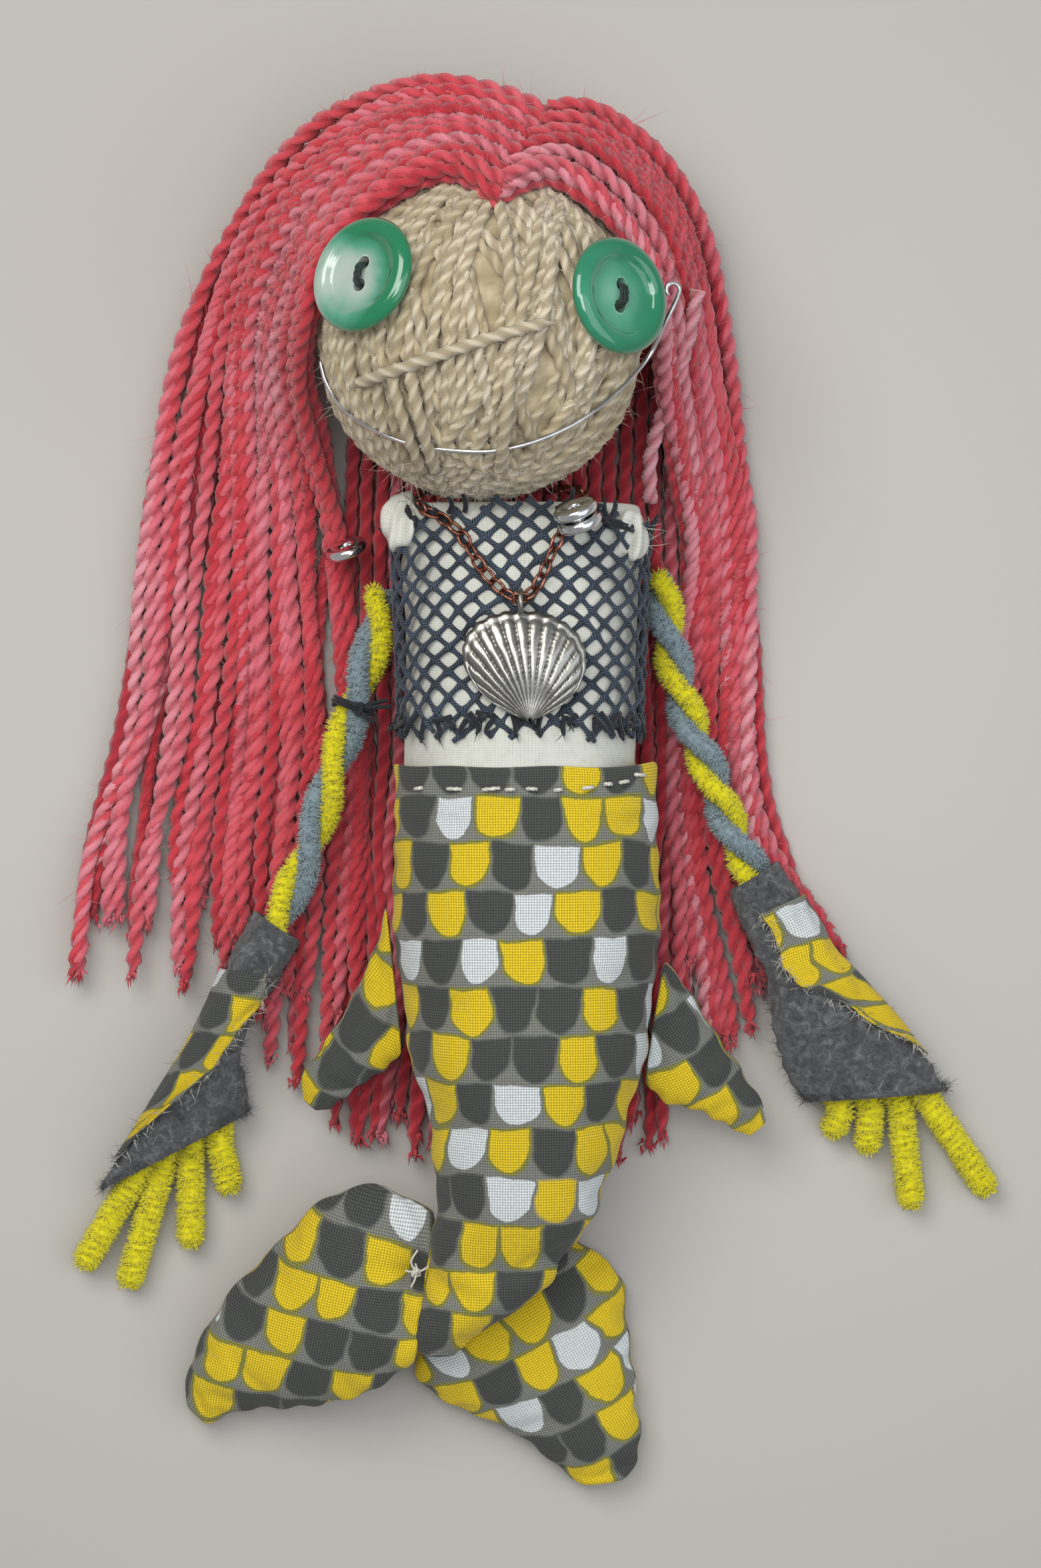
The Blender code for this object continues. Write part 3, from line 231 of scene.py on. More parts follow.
def joined(parts: Sequence[Surface]) -> Surface:
    """Put surfaces in one, with the values that all of them have."""
    offsets = np.cumsum([0] + [len(part.points) for part in parts[:-1]])
    names = set(parts[0].values).intersection(*(part.values for part in parts))
    halves = [np.split(part.uv, [4 * len(part.quads)]) for part in parts]
    return Surface(
        np.vstack([part.points for part in parts]),
        np.vstack([part.quads + offset for part, offset in zip(parts, offsets)]),
        np.vstack([part.tris + offset for part, offset in zip(parts, offsets)]),
        np.vstack([half[0] for half in halves] + [half[1] for half in halves]),
        {name: np.concatenate([part.values[name] for part in parts]) for name in sorted(names)})


def sweep(paths: Array, across: Array, radius: Array | float, sides: int, turns: Array | float = 0.0,
          shape: Array | float = 1.0, closed: bool = False) -> Surface:
    """Carry a round or shaped profile along many paths at once.

    A point at angle a of a profile is path + r(a) (cos(a + turn) side + sin(a + turn) up), where side is the
    across direction without its part along the path, and up is path direction x side.

    Args:
        paths: Paths by stations by three coordinates.
        across: A direction across the paths, for every station or one for all.
        radius: The radius at each station.
        sides: Points round the profile.
        turns: The angle by which the profile is turned at each station.
        shape: A factor for the radius at each side.
        closed: Join each path's end to its start.

    Returns:
        One surface with all the tubes.
    """
    spread = paths.shape[:2]
    ahead = np.roll(paths, -1, axis=1) - np.roll(paths, 1, axis=1) if closed else np.gradient(paths, axis=1)
    ahead = unit(ahead)
    side = square_to(np.broadcast_to(across, paths.shape), ahead)
    angle = circle(sides) + np.broadcast_to(turns, spread)[..., None]
    reach = np.broadcast_to(radius, spread)[..., None] * shape
    up = np.cross(ahead, side)
    points = paths[:, :, None] + reach[..., None] * around(angle, side[:, :, None], up[:, :, None])
    run = run_along(paths)
    run = np.hstack([run, run[:, -1:]])
    share = np.arange(sides + 1) / sides
    return joined([grid_surface(tube, wrap_rows=closed, capped=not closed, uv=xyz(length[:, None], share))
                   for tube, length in zip(points, run)])


def fibres(roots: Array, ways: Array, lengths: Array, width: float, bends: Array | None = None) -> Surface:
    """Grow thin closed hairs: a triangle at the root, another halfway in a bent one, and a point at the tip.

    Args:
        roots: Where each hair starts.
        ways: The direction in which each one leaves.
        lengths: The length of each one.
        width: The radius at the root.
        bends: How far each tip is moved aside, or None for short straight hairs.

    Returns:
        One surface with all the hairs.
    """
    ways = unit(ways)
    side = unit(np.cross(ways, (0.31, 0.52, 0.79)))
    ring = around(circle(3), side[:, None], np.cross(ways, side)[:, None]) * width
    tips = roots + ways * lengths[:, None]
    if bends is None:
        rings = [roots[:, None] + ring, tips[:, None]]
        quads, tris = [], [[0, 2, 1], [0, 1, 3], [1, 2, 3], [2, 0, 3]]
    else:
        middle = roots + ways * lengths[:, None] * 0.5 + bends * 0.28
        rings = [roots[:, None] + ring, middle[:, None] + ring * 0.7, (tips + bends)[:, None]]
        quads, tris = [[0, 1, 4, 3], [1, 2, 5, 4], [2, 0, 3, 5]], [[0, 2, 1], [3, 4, 6], [4, 5, 6], [5, 3, 6]]
    points = np.concatenate(rings, axis=1)
    base = np.arange(len(roots))[:, None, None] * points.shape[1]
    quads, tris = ((np.array(faces, dtype=int).reshape(-1, n) + base).reshape(-1, n)
                   for faces, n in ((quads, 4), (tris, 3)))
    return Surface(points.reshape(-1, 3), quads, tris, np.zeros((4 * len(quads) + 3 * len(tris), 2)))


def new_piece(name: str, surface: Surface, material: Material, replaces: Sequence[str] = (),
              smooth: bool = True) -> Thing:
    """Make an object of a surface, which rides on the doll's one body.

    Args:
        name: The piece's name.
        surface: Its faces, in millimetres.
        material: Its finish.
        replaces: The solids that the piece stands for.
        smooth: Shade it smooth.

    Returns:
        The object.
    """
    mesh = bpy.data.meshes.new(name)
    quads, tris = surface.quads, surface.tris
    corners = np.concatenate([quads.ravel(), tris.ravel()]).astype(np.int32)
    starts = np.concatenate([np.arange(len(quads)) * 4, 4 * len(quads) + np.arange(len(tris)) * 3])
    for group, count in ((mesh.vertices, len(surface.points)), (mesh.loops, len(corners)),
                         (mesh.polygons, len(starts))):
        group.add(count)
    mesh.vertices.foreach_set("co", (surface.points * MM).astype(np.float32).ravel())
    mesh.loops.foreach_set("vertex_index", corners)
    mesh.polygons.foreach_set("loop_start", starts.astype(np.int32))
    mesh.update(calc_edges=True)
    mesh.uv_layers.new(name="surface").uv.foreach_set("vector", surface.uv.astype(np.float32).ravel())
    for key, value in surface.values.items():
        mesh.attributes.new(key, "FLOAT", "POINT").data.foreach_set("value", value.astype(np.float32))
    if smooth:
        mesh.shade_smooth()
    mesh.materials.append(material)
    thing = bpy.data.objects.new(name, mesh)
    bpy.context.scene.collection.objects.link(thing)
    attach(thing, "root")
    if replaces:
        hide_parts(*replaces)
    LOG.info("%s: %d points, %d faces", name, len(surface.points), len(starts))
    return thing


def linear_colour(hex_colour: str) -> tuple[float, float, float, float]:
    """Turn an sRGB hex colour into linear light: c / 12.92, or ((c + 0.055) / 1.055) ^ 2.4 above 0.04045."""
    channels = np.array([int(hex_colour[i:i + 2], 16) / 255 for i in (1, 3, 5)])
    light = np.where(channels <= 0.04045, channels / 12.92, ((channels + 0.055) / 1.055) ** 2.4)
    return (*light.tolist(), 1.0)


def wire(tree: bpy.types.NodeTree, value: Any, socket: bpy.types.NodeSocket) -> None:
    """Link a socket, or a node's first output, to an input, or write a number or a hex colour in it."""
    if isinstance(value, Node):
        value = value.outputs[0]
    if isinstance(value, bpy.types.NodeSocket):
        tree.links.new(value, socket)
    else:
        socket.default_value = linear_colour(value) if isinstance(value, str) else value


def add_node(tree: bpy.types.NodeTree, kind: str, *values: Any, **named: Any) -> Node:
    """Add one shader node, set it and link it.

    Args:
        tree: The node tree.
        kind: The node's type without its ShaderNode prefix.
        values: What goes in its first inputs, as wire takes it.
        named: With a capital, what goes in the input of that name, with _ for a space; stops, the (place, hex
            colour) pairs of a colour ramp; otherwise a setting of the node.

    Returns:
        The node.
    """
    node = tree.nodes.new("ShaderNode" + kind)
    inputs: dict[str | int, Any] = dict(enumerate(values))
    for key, value in named.items():
        if key[0].isupper():
            inputs[key.replace("_", " ")] = value
        elif key == "stops":
            ramp = node.color_ramp.elements
            while len(ramp) < len(value):
                ramp.new(1.0)
            for element, (place, colour) in zip(ramp, value):
                element.position, element.color = place, linear_colour(colour)
        else:
            setattr(node, key, value)
    for key, value in inputs.items():
        wire(tree, value, node.inputs[key])
    return node


@dataclass(frozen=True)
class Finish:
    """A finish, whose kinds each wire the shader of their material in their own way."""

    name: str

    def wired(self, add: Add) -> dict[str, Any]:
        """Add the pattern's nodes, and give what goes in each of the shader's inputs."""
        raise NotImplementedError

    def material(self) -> Material:
        """Make the material."""
        material = bpy.data.materials.new(self.name)
        material.use_nodes = True
        tree = material.node_tree
        for key, value in self.wired(partial(add_node, tree)).items():
            wire(tree, value, tree.nodes["Principled BSDF"].inputs[key])
        return material


@dataclass(frozen=True)
class SpunWool(Finish):
    """Two-ply wool yarn: matt, with a soft sheen, fine fibres along each ply and painted shade in the grooves
    between the plies.
    """

    stops: tuple[tuple[float, str], ...]
    groove: str
    fibre_mm: float = 0.35

    def wired(self, add: Add) -> dict[str, Any]:
        """Read tone and groove depth from the yarn's points, paint shade in the grooves, and draw the fibres
        on its own map.
        """
        tone, groove = (add("Attribute", attribute_name=name).outputs["Fac"] for name in ("tone", "groove"))
        lay = add("Mapping", add("UVMap", uv_map="surface"), Scale=(0.12 / self.fibre_mm, 14.0, 1.0))
        hairs = add("TexNoise", lay, Scale=2.0, Detail=4.0, Roughness=0.7)
        slow = add("TexNoise", add("TexCoord").outputs["Object"], Scale=60.0, Detail=2.0)
        mixed = add("Math", tone, add("MapRange", slow, 0.3, 0.7, -0.1, 0.1), use_clamp=True)
        shaded = add("VectorMath", add("ValToRGB", mixed, stops=self.stops), operation="SCALE",
                     Scale=add("MapRange", hairs, 0.3, 0.7, 0.72, 1.12))
        # Painted shade: the dark groove colour is mixed in where a point lies deep between the plies.
        return {"Base Color": add("MixRGB", groove, self.groove, shaded),
                "Normal": add("Bump", Strength=0.7, Distance=0.0003, Height=hairs),
                "Roughness": 0.92, "Sheen Weight": 0.35, "Sheen Roughness": 0.5, "Specular IOR Level": 0.2}


@dataclass(frozen=True)
class ChenillePile(Finish):
    """Pipe cleaner: short nylon pile twisted in a wire, matt, paler at its tips and with painted shade
    towards its root.
    """

    root: str
    body: str
    tip: str

    def wired(self, add: Add) -> dict[str, Any]:
        """Read how far each point is from the wire, with a fleck; the root colour is painted shade."""
        depth = add("Attribute", attribute_name="depth").outputs["Fac"]
        fleck = add("TexNoise", add("TexCoord").outputs["Object"], Scale=1800.0, Detail=2.0)
        mixed = add("Math", depth, add("MapRange", fleck, 0.25, 0.75, -0.2, 0.2), use_clamp=True)
        stops = ((0.0, self.root), (0.55, self.body), (1.0, self.tip))
        return {"Base Color": add("ValToRGB", mixed, stops=stops),
                "Normal": add("Bump", Strength=0.6, Distance=0.0003, Height=fleck),
                "Roughness": 0.85, "Sheen Weight": 0.3, "Sheen Roughness": 0.4, "Specular IOR Level": 0.25}


@dataclass(frozen=True)
class PressedFelt(Finish):
    """Wool felt: matted fibres with no weave, mottled, with pale and dark specks."""

    name: str = "pressed_felt"
    dark: str = "#36383B"
    middle: str = "#5A5D60"
    pale: str = "#8B8E90"

    def wired(self, add: Add) -> dict[str, Any]:
        """Mottle the colour, and mat the surface more finely."""
        place = add("TexCoord").outputs["Object"]
        mottle = add("TexNoise", place, Scale=420.0, Detail=5.0, Roughness=0.75, Distortion=1.2)
        matted = add("TexNoise", place, Scale=1400.0, Detail=4.0, Distortion=3.0)
        stops = ((0.3, self.dark), (0.52, self.middle), (0.72, self.pale))
        return {"Base Color": add("ValToRGB", mottle, stops=stops),
                "Normal": add("Bump", Strength=0.9, Distance=0.0005, Height=matted),
                "Roughness": 0.95, "Sheen Weight": 0.25, "Specular IOR Level": 0.15}


def weave_height(add: Add, place: Node, thread_mm: float) -> Node:
    """Give the height of a plain weave: |sin| ridges across and along, each lifted where it passes over.

    Args:
        add: Adds a node to the material.
        place: A node whose output is the place on the cloth in millimetres.
        thread_mm: The spacing of the threads.

    Returns:
        The node that gives a height from 0 to 1.
    """
    parts = add("SeparateXYZ", add("VectorMath", place, operation="SCALE", Scale=1.0 / thread_mm))
    sheets = []
    for run, other, phase in ((0, 1, 0.0), (1, 0, math.pi)):
        row = add("Math", parts.outputs[run], operation="FLOOR")
        inside = add("Math", parts.outputs[run], operation="FRACT")
        rib = add("Math", add("Math", inside, math.pi, operation="MULTIPLY"), operation="SINE")
        turn = add("Math", add("Math", parts.outputs[other], row), math.pi, phase, operation="MULTIPLY_ADD")
        wave = add("Math", add("Math", turn, operation="SINE"), 0.35, 0.65, operation="MULTIPLY_ADD")
        sheets.append(add("Math", rib, wave, operation="MULTIPLY"))
    return add("Math", *sheets, operation="MAXIMUM")


@dataclass(frozen=True)
class PlainCalico(Finish):
    """Unbleached cotton in a plain weave: off-white, matt, with slubs and faint painted shade between the
    threads of its weave.
    """

    name: str = "plain_calico"
    pale: str = "#D5D8CF"
    dark: str = "#AFB0A5"
    thread_mm: float = 0.45

    def wired(self, add: Add) -> dict[str, Any]:
        """Draw the weave on the piece's own map in millimetres."""
        place = add("UVMap", uv_map="surface")
        weave = weave_height(add, place, self.thread_mm)
        slub = add("TexNoise", place, Scale=0.6, Detail=5.0)
        # Painted shade: the colour darkens between the weave's threads and where the slub noise is low.
        share = add("Math", weave, 0.75, slub, operation="MULTIPLY_ADD", use_clamp=True)
        shade = add("Math", share, 0.35, operation="SUBTRACT", use_clamp=True)
        return {"Base Color": add("ValToRGB", shade, stops=((0.0, self.dark), (0.7, self.pale))),
                "Normal": add("Bump", Strength=0.5, Distance=0.00015, Height=weave),
                "Roughness": 0.9, "Sheen Weight": 0.15, "Specular IOR Level": 0.25}


@dataclass(frozen=True)
class PrintedLinen(Finish):
    """Printed linen: rows of round-bottomed tiles, each row half a tile aside, in three inks on grey.

    The pigment lies on the threads, and the weave shows through it as painted shade between the threads and
    painted highlight on them; the yellow has an olive rim where its ink spread.
    """

    name: str = "printed_linen"
    tile_mm: float = 8.3
    row_mm: float = 8.8
    tile_half_mm: float = 3.78
    top_gap_mm: float = 0.55
    rim_mm: float = 0.75
    thread_mm: float = 0.5
    ground: str = "#84867F"
    rim: str = "#8D8C42"
    yellow: str = "#E8CB27"
    grey: str = "#4D504D"
    white: str = "#DCE4E6"
    yellow_share: float = 0.43
    coloured_share: float = 0.86

    def tile_distance(self, add: Add, aside: Node, height: Node) -> Node:
        """Give the distance outside a tile in mm: round below its middle, with straight sides and a flat top.

        Args:
            add: Adds a node to the material.
            aside: The distance from the tile's middle line in mm.
            height: The height in the row in mm.

        Returns:
            The node with the distance, below zero inside the tile.
        """
        below = add("Math", height, self.tile_half_mm + 0.45, operation="SUBTRACT")
        both = add("CombineXYZ", aside, add("Math", below, 0.0, operation="MINIMUM"))
        reach = add("VectorMath", both, operation="LENGTH").outputs["Value"]
        rounded = add("Math", reach, self.tile_half_mm, operation="SUBTRACT")
        top = add("Math", height, self.row_mm - self.top_gap_mm, operation="SUBTRACT")
        return add("Math", rounded, top, operation="MAXIMUM")

    def wired(self, add: Add) -> dict[str, Any]:
        """Lay the print on the piece's own map in millimetres, a little out of line as by hand."""
        place = add("UVMap", uv_map="surface")
        weave = weave_height(add, place, self.thread_mm)
        drift = add("TexNoise", place, Scale=0.09, Detail=2.0).outputs["Color"]
        across, rise, _ = add("SeparateXYZ", add("VectorMath", drift, (4.6, 4.0, 0.0), place,
                                                 operation="MULTIPLY_ADD")).outputs
        row_place = add("Math", rise, self.row_mm, operation="DIVIDE")
        row = add("Math", row_place, operation="FLOOR")
        height = add("Math", add("Math", row_place, operation="FRACT"), self.row_mm, operation="MULTIPLY")
        row_dice = add("TexWhiteNoise", noise_dimensions="1D", W=row)
        column_place = add("Math", add("Math", across, self.tile_mm, operation="DIVIDE"),
                           add("Math", row, 0.5, row_dice, operation="MULTIPLY_ADD"))
        column = add("Math", column_place, operation="FLOOR")
        inside = add("Math", add("Math", column_place, operation="FRACT"), 0.5, operation="SUBTRACT")
        taper = add("MapRange", height, 0.0, self.row_mm, self.tile_mm * 1.1, self.tile_mm * 0.98)
        distance = self.tile_distance(add, add("Math", inside, taper, operation="MULTIPLY"), height)
        bleed = add("TexNoise", place, Scale=2.2, Detail=2.0)
        edge = add("Math", bleed, 0.5, distance, operation="MULTIPLY_ADD")
        own = add("TexWhiteNoise", add("CombineXYZ", column, row), noise_dimensions="2D")
        strewn = add("Math", own, 0.3, row_dice, operation="MULTIPLY_ADD")
        dice = add("Math", add("Math", column, 0.618, strewn, operation="MULTIPLY_ADD"), operation="FRACT")
        ink = add("ValToRGB", dice, stops=((0.0, self.yellow), (self.yellow_share, self.grey),
                                           (self.coloured_share, self.white)))
        ink.color_ramp.interpolation = "CONSTANT"
        is_yellow, coloured = (add("Math", dice, share, operation="LESS_THAN")
                               for share in (self.yellow_share, self.coloured_share))
        rim = add("MapRange", edge, self.rim_mm + 0.35, self.rim_mm - 0.1, 0.0, 1.0,
                  interpolation_type="SMOOTHSTEP")
        ground = add("MixRGB", add("Math", rim, is_yellow, operation="MULTIPLY"), self.ground, self.rim)
        is_grey = add("Math", coloured, is_yellow, operation="SUBTRACT")
        spread = add("Math", is_grey, 0.7, 0.34, operation="MULTIPLY_ADD")
        tile = add("MapRange", edge, spread, 0.06, 0.0, 1.0, interpolation_type="SMOOTHSTEP")
        slub = add("TexNoise", place, Scale=1.4, Detail=4.0)
        # Painted shade between the weave's threads and painted highlight on their crowns, times the slubs'
        # own tone.
        shade = add("Math", add("MapRange", weave, 0.25, 0.95, 0.42, 1.14),
                    add("MapRange", slub, 0.3, 0.7, 0.93, 1.07), operation="MULTIPLY")
        printed = add("MixRGB", tile, ground, ink)
        return {"Base Color": add("VectorMath", printed, operation="SCALE", Scale=shade),
                "Normal": add("Bump", Strength=0.6, Distance=0.00018, Height=weave),
                "Roughness": 0.88, "Sheen Weight": 0.12, "Specular IOR Level": 0.25}


@dataclass(frozen=True)
class PolishedMetal(Finish):
    """Bright metal, such as plated wire or beads: smooth, with faint drawn marks that soften its glints."""

    bright: str
    dull: str
    roughness: float
    mark_mm: float = 1.5

    def wired(self, add: Add) -> dict[str, Any]:
        """Dull the metal where a slow noise is high."""
        wear = add("TexNoise", add("TexCoord").outputs["Object"], Scale=1000.0 / self.mark_mm, Detail=3.0)
        share = add("MapRange", wear, 0.35, 0.65, 0.0, 1.0)
        return {"Metallic": 1.0, "Base Color": add("MixRGB", share, self.dull, self.bright),
                "Roughness": add("MapRange", wear, 0.3, 0.7, self.roughness * 1.5, self.roughness * 0.7)}


@dataclass(frozen=True)
class CastPewter(Finish):
    """Cast pewter with an antique patina: bright on its ribs and rim, dark and rough in its grooves."""

    name: str = "cast_pewter"
    ridge: str = "#A8A8A2"
    groove: str = "#30302D"
    grain_mm: float = 0.5

    def wired(self, add: Add) -> dict[str, Any]:
        """Read from the points how deep the casting is."""
        groove = add("Attribute", attribute_name="groove").outputs["Fac"]
        grain = add("TexNoise", add("TexCoord").outputs["Object"], Scale=1000.0 / self.grain_mm, Detail=3.0)
        from_mean = add("Math", grain, 0.5, operation="SUBTRACT")
        share = add("Math", from_mean, 0.5, groove, operation="MULTIPLY_ADD", use_clamp=True)
        return {"Metallic": 1.0, "Base Color": add("MixRGB", share, self.groove, self.ridge),
                "Roughness": add("MapRange", share, 0.0, 1.0, 0.6, 0.22),
                "Normal": add("Bump", Strength=0.25, Distance=0.0001, Height=grain)}


@dataclass(frozen=True)
class PearlResin(Finish):
    """Cast polyester button resin: polished, with a deep green rim, swirls of pearl in the dish, and a
    painted highlight on one side with painted shade on the other.
    """

    rim: str
    body: str
    pearl: str
    milk: str
    # aside: how strongly the painted highlight and shade pale and darken the two sides.
    aside: float

    def wired(self, add: Add) -> dict[str, Any]:
        """Read how far a point is from the button's middle, and how far it lies towards the side with the
        painted highlight.
        """
        spread, glow = (add("Attribute", attribute_name=name).outputs["Fac"] for name in ("spread", "glow"))
        swirl = add("TexNoise", add("TexCoord").outputs["Object"], Scale=75.0, Detail=2.0, Distortion=1.6)
        # Painted light: level falls on the highlight side, paling it, and rises on the far side as painted
        # shade.
        level = add("Math", glow, -self.aside, spread, operation="MULTIPLY_ADD")
        from_mean = add("Math", swirl, 0.5, operation="SUBTRACT")
        share = add("Math", from_mean, 0.5, level, operation="MULTIPLY_ADD", use_clamp=True)
        stops = ((0.0, self.milk), (0.34, self.pearl), (0.62, self.body), (0.86, self.rim))
        return {"Base Color": add("ValToRGB", share, stops=stops), "Roughness": 0.16, "Coat Weight": 1.0,
                "Coat Roughness": 0.03, "IOR": 1.54, "Specular IOR Level": 0.5}


@dataclass(frozen=True)
class TwistedThread(Finish):
    """Sewing or net thread: fine, slightly glossy twisted filament, with painted shade in its twist and
    painted highlights in patches on it.
    """

    dark: str
    pale: str
    roughness: float = 0.6

    def wired(self, add: Add) -> dict[str, Any]:
        """Draw twist lines across the thread's own map, as painted shade and painted highlight."""
        lay = add("Mapping", add("UVMap", uv_map="surface"), Scale=(1.4, 3.0, 1.0))
        twist = add("TexWave", lay, bands_direction="DIAGONAL", Scale=0.8, Distortion=1.0).outputs["Fac"]
        highlight_patches = add("TexNoise", add("TexCoord").outputs["Object"], Scale=260.0, Detail=3.0)
        # Painted light: the dark colour is painted shade in the twist's grooves, the pale one a painted
        # highlight where the noise is high.
        share = add("Math", twist, highlight_patches, operation="MULTIPLY")
        return {"Base Color": add("ValToRGB", share, stops=((0.1, self.dark), (0.6, self.pale))),
                "Normal": add("Bump", Strength=0.5, Distance=0.0001, Height=twist),
                "Roughness": self.roughness, "Sheen Weight": 0.2, "Specular IOR Level": 0.35}


@dataclass(frozen=True)
class MattPaper(Finish):
    """Matt backdrop paper: plain and pale, with painted shade that makes it a little darker away from the
    middle.
    """

    name: str = "matt_paper_floor"
    lit_centre: str = "#BFBDB8"
    shaded_edge: str = "#96948F"

    def wired(self, add: Add) -> dict[str, Any]:
        """Shade the paper by its distance from the middle in metres."""
        place = add("TexCoord").outputs["Object"]
        reach = add("VectorMath", place, operation="LENGTH").outputs["Value"]
        cloudy = add("TexNoise", place, Scale=3.0, Detail=2.0)
        # Painted light: the colour darkens with the distance from the middle, a painted falloff of the lamps'
        # light.
        share = add("Math", cloudy, 0.03, reach, operation="MULTIPLY_ADD")
        return {"Base Color": add("ValToRGB", share, stops=((0.06, self.lit_centre), (0.5, self.shaded_edge))),
                "Roughness": 0.9, "Specular IOR Level": 0.2}


def on_head(x: Array | float, y: Array | float, lift: float) -> Array:
    """Place x and y from the head's centre on a ball lift above the windings: z = sqrt(r^2 - x^2 - y^2)."""
    radius = HEAD_RADIUS + lift
    flat = np.minimum(np.hypot(x, y), radius)
    return HEAD_CENTRE + xyz(x, y, np.sqrt(radius ** 2 - flat ** 2))


def body_half_width(y: Array | float) -> Array:
    """Half the torso's width at y, straight from waist to shoulder."""
    return (WAIST_WIDTH + (CHEST_WIDTH - WAIST_WIDTH) * np.clip((y - WAIST_Y) / TORSO_LENGTH, 0, 1)) / 2


def oblong(angle: Array, power: float) -> tuple[Array, Array]:
    """Give the unit points of a rounded oblong: sign(cos) |cos|^(2 / power), and the same of sin."""
    c, s = np.cos(angle), np.sin(angle)
    return np.sign(c) * np.abs(c) ** (2 / power), np.sign(s) * np.abs(s) ** (2 / power)


def on_body(y: Array, angle: Array, grow: float) -> Array:
    """Place points round the torso's cross-section at y, grown outwards by grow."""
    c, s = oblong(angle, BODY_POWER)
    return xyz((body_half_width(y) + grow) * c, y, BODY_Z + (TORSO_DEPTH / 2 + grow) * s)


def chest_top(x: Array | float, y: Array | float) -> Array:
    """Height of the net's outer face over the chest at x and y."""
    cover = SAFE_GAP + 0.9
    across = np.minimum(np.abs(x) / (body_half_width(y) + cover), 0.97)
    return BODY_Z + (TORSO_DEPTH / 2 + cover) * (1 - across ** BODY_POWER) ** (1 / BODY_POWER)


@dataclass
class Yarn:
    """Two-ply yarn: a profile like a figure eight that turns once for each pitch along the strand."""

    radius: float = 1.45
    pitch: float = 8.0
    sides: int = 8
    waist: float = 0.55
    fuzz_width: float = 0.05

    def profile(self) -> Array:
        """Give the factor for the radius at each side: (c |cos a| + sqrt(1 - c^2 sin^2 a)) / (1 + c)."""
        angle = circle(self.sides)
        return (self.waist * np.abs(np.cos(angle))
                + np.sqrt(1 - self.waist ** 2 * np.sin(angle) ** 2)) / (1 + self.waist)

    def spin(self, paths: Array, across: Array, tone: Array, phase: Array, closed: bool = False,
             thin: Array | float = 1.0) -> Surface:
        """Spin strands along paths, with values for tone and for how deep a point is between the plies, which
        sets the painted shade there.

        Args:
            paths: Paths by stations by three coordinates.
            across: A direction across them.
            tone: The yarn's tone at each station, from 0 to 1.
            phase: The turn at which each strand starts.
            closed: Join each end to its start, with a whole number of turns.
            thin: A factor for the radius at each station.

        Returns:
            The strands' surface.
        """
        stations = paths.shape[1]
        run, pitch = run_along(paths), self.pitch
        if closed:
            whole = run[:, -1:] * stations / (stations - 1)
            pitch = whole / np.round(whole / self.pitch)
        shape = self.profile()
        turns = run / pitch * TAU + phase[:, None]
        surface = sweep(paths, across, self.radius * thin, self.sides, turns, shape, closed)
        # Painted shade between the plies: 0.25 where the profile is narrowest, 1 on the plies' crowns.
        groove = (shape - shape.min()) / (1 - shape.min()) * 0.75 + 0.25
        spread = (*paths.shape[:2], self.sides)
        tone, groove = (self.with_ends(np.broadcast_to(values, spread), closed)
                        for values in (tone[..., None], groove))
        return surface.mark(tone=tone, groove=groove)

    def with_ends(self, values: Array, closed: bool) -> Array:
        """Add the values of each tube's two end points, where it has them."""
        flat = values.reshape(len(values), -1)
        return (flat if closed else np.hstack([flat, flat[:, :1], flat[:, -1:]])).ravel()

    def fuzz(self, paths: Array, tone: Array, amount: int, reach: float, dice: Dice) -> Surface:
        """Scatter loose fibres over strands.

        Args:
            paths: Paths by stations by three coordinates.
            tone: The tone at each station.
            amount: How many fibres.
            reach: Their mean length in millimetres.
            dice: The random numbers.

        Returns:
            The fibres' surface.
        """
        which, place = dice.integers(0, paths.shape[0], amount), dice.integers(1, paths.shape[1] - 1, amount)
        ahead = unit(paths[which, place + 1] - paths[which, place - 1])
        loose = unit(dice.normal(size=(amount, 3)))
        away = square_to(loose, ahead)
        roots = paths[which, place] + away * self.radius * 0.75
        ways = away * 0.75 + ahead * dice.uniform(-0.9, 0.9, (amount, 1))
        ways = ways + dice.normal(size=(amount, 3)) * 0.25
        lengths = np.clip(dice.exponential(reach, amount), 0.5, 3.2 * reach)
        bends = dice.normal(size=(amount, 3)) * lengths[:, None] * 0.3
        # The fibres are painted paler than their strand, a painted highlight for the light that they catch,
        # with no groove shade.
        return fibres(roots, ways, lengths, self.fuzz_width, bends).mark(
            tone=np.repeat(np.clip(tone[which, place] + 0.12, 0, 1), 7), groove=1.0)


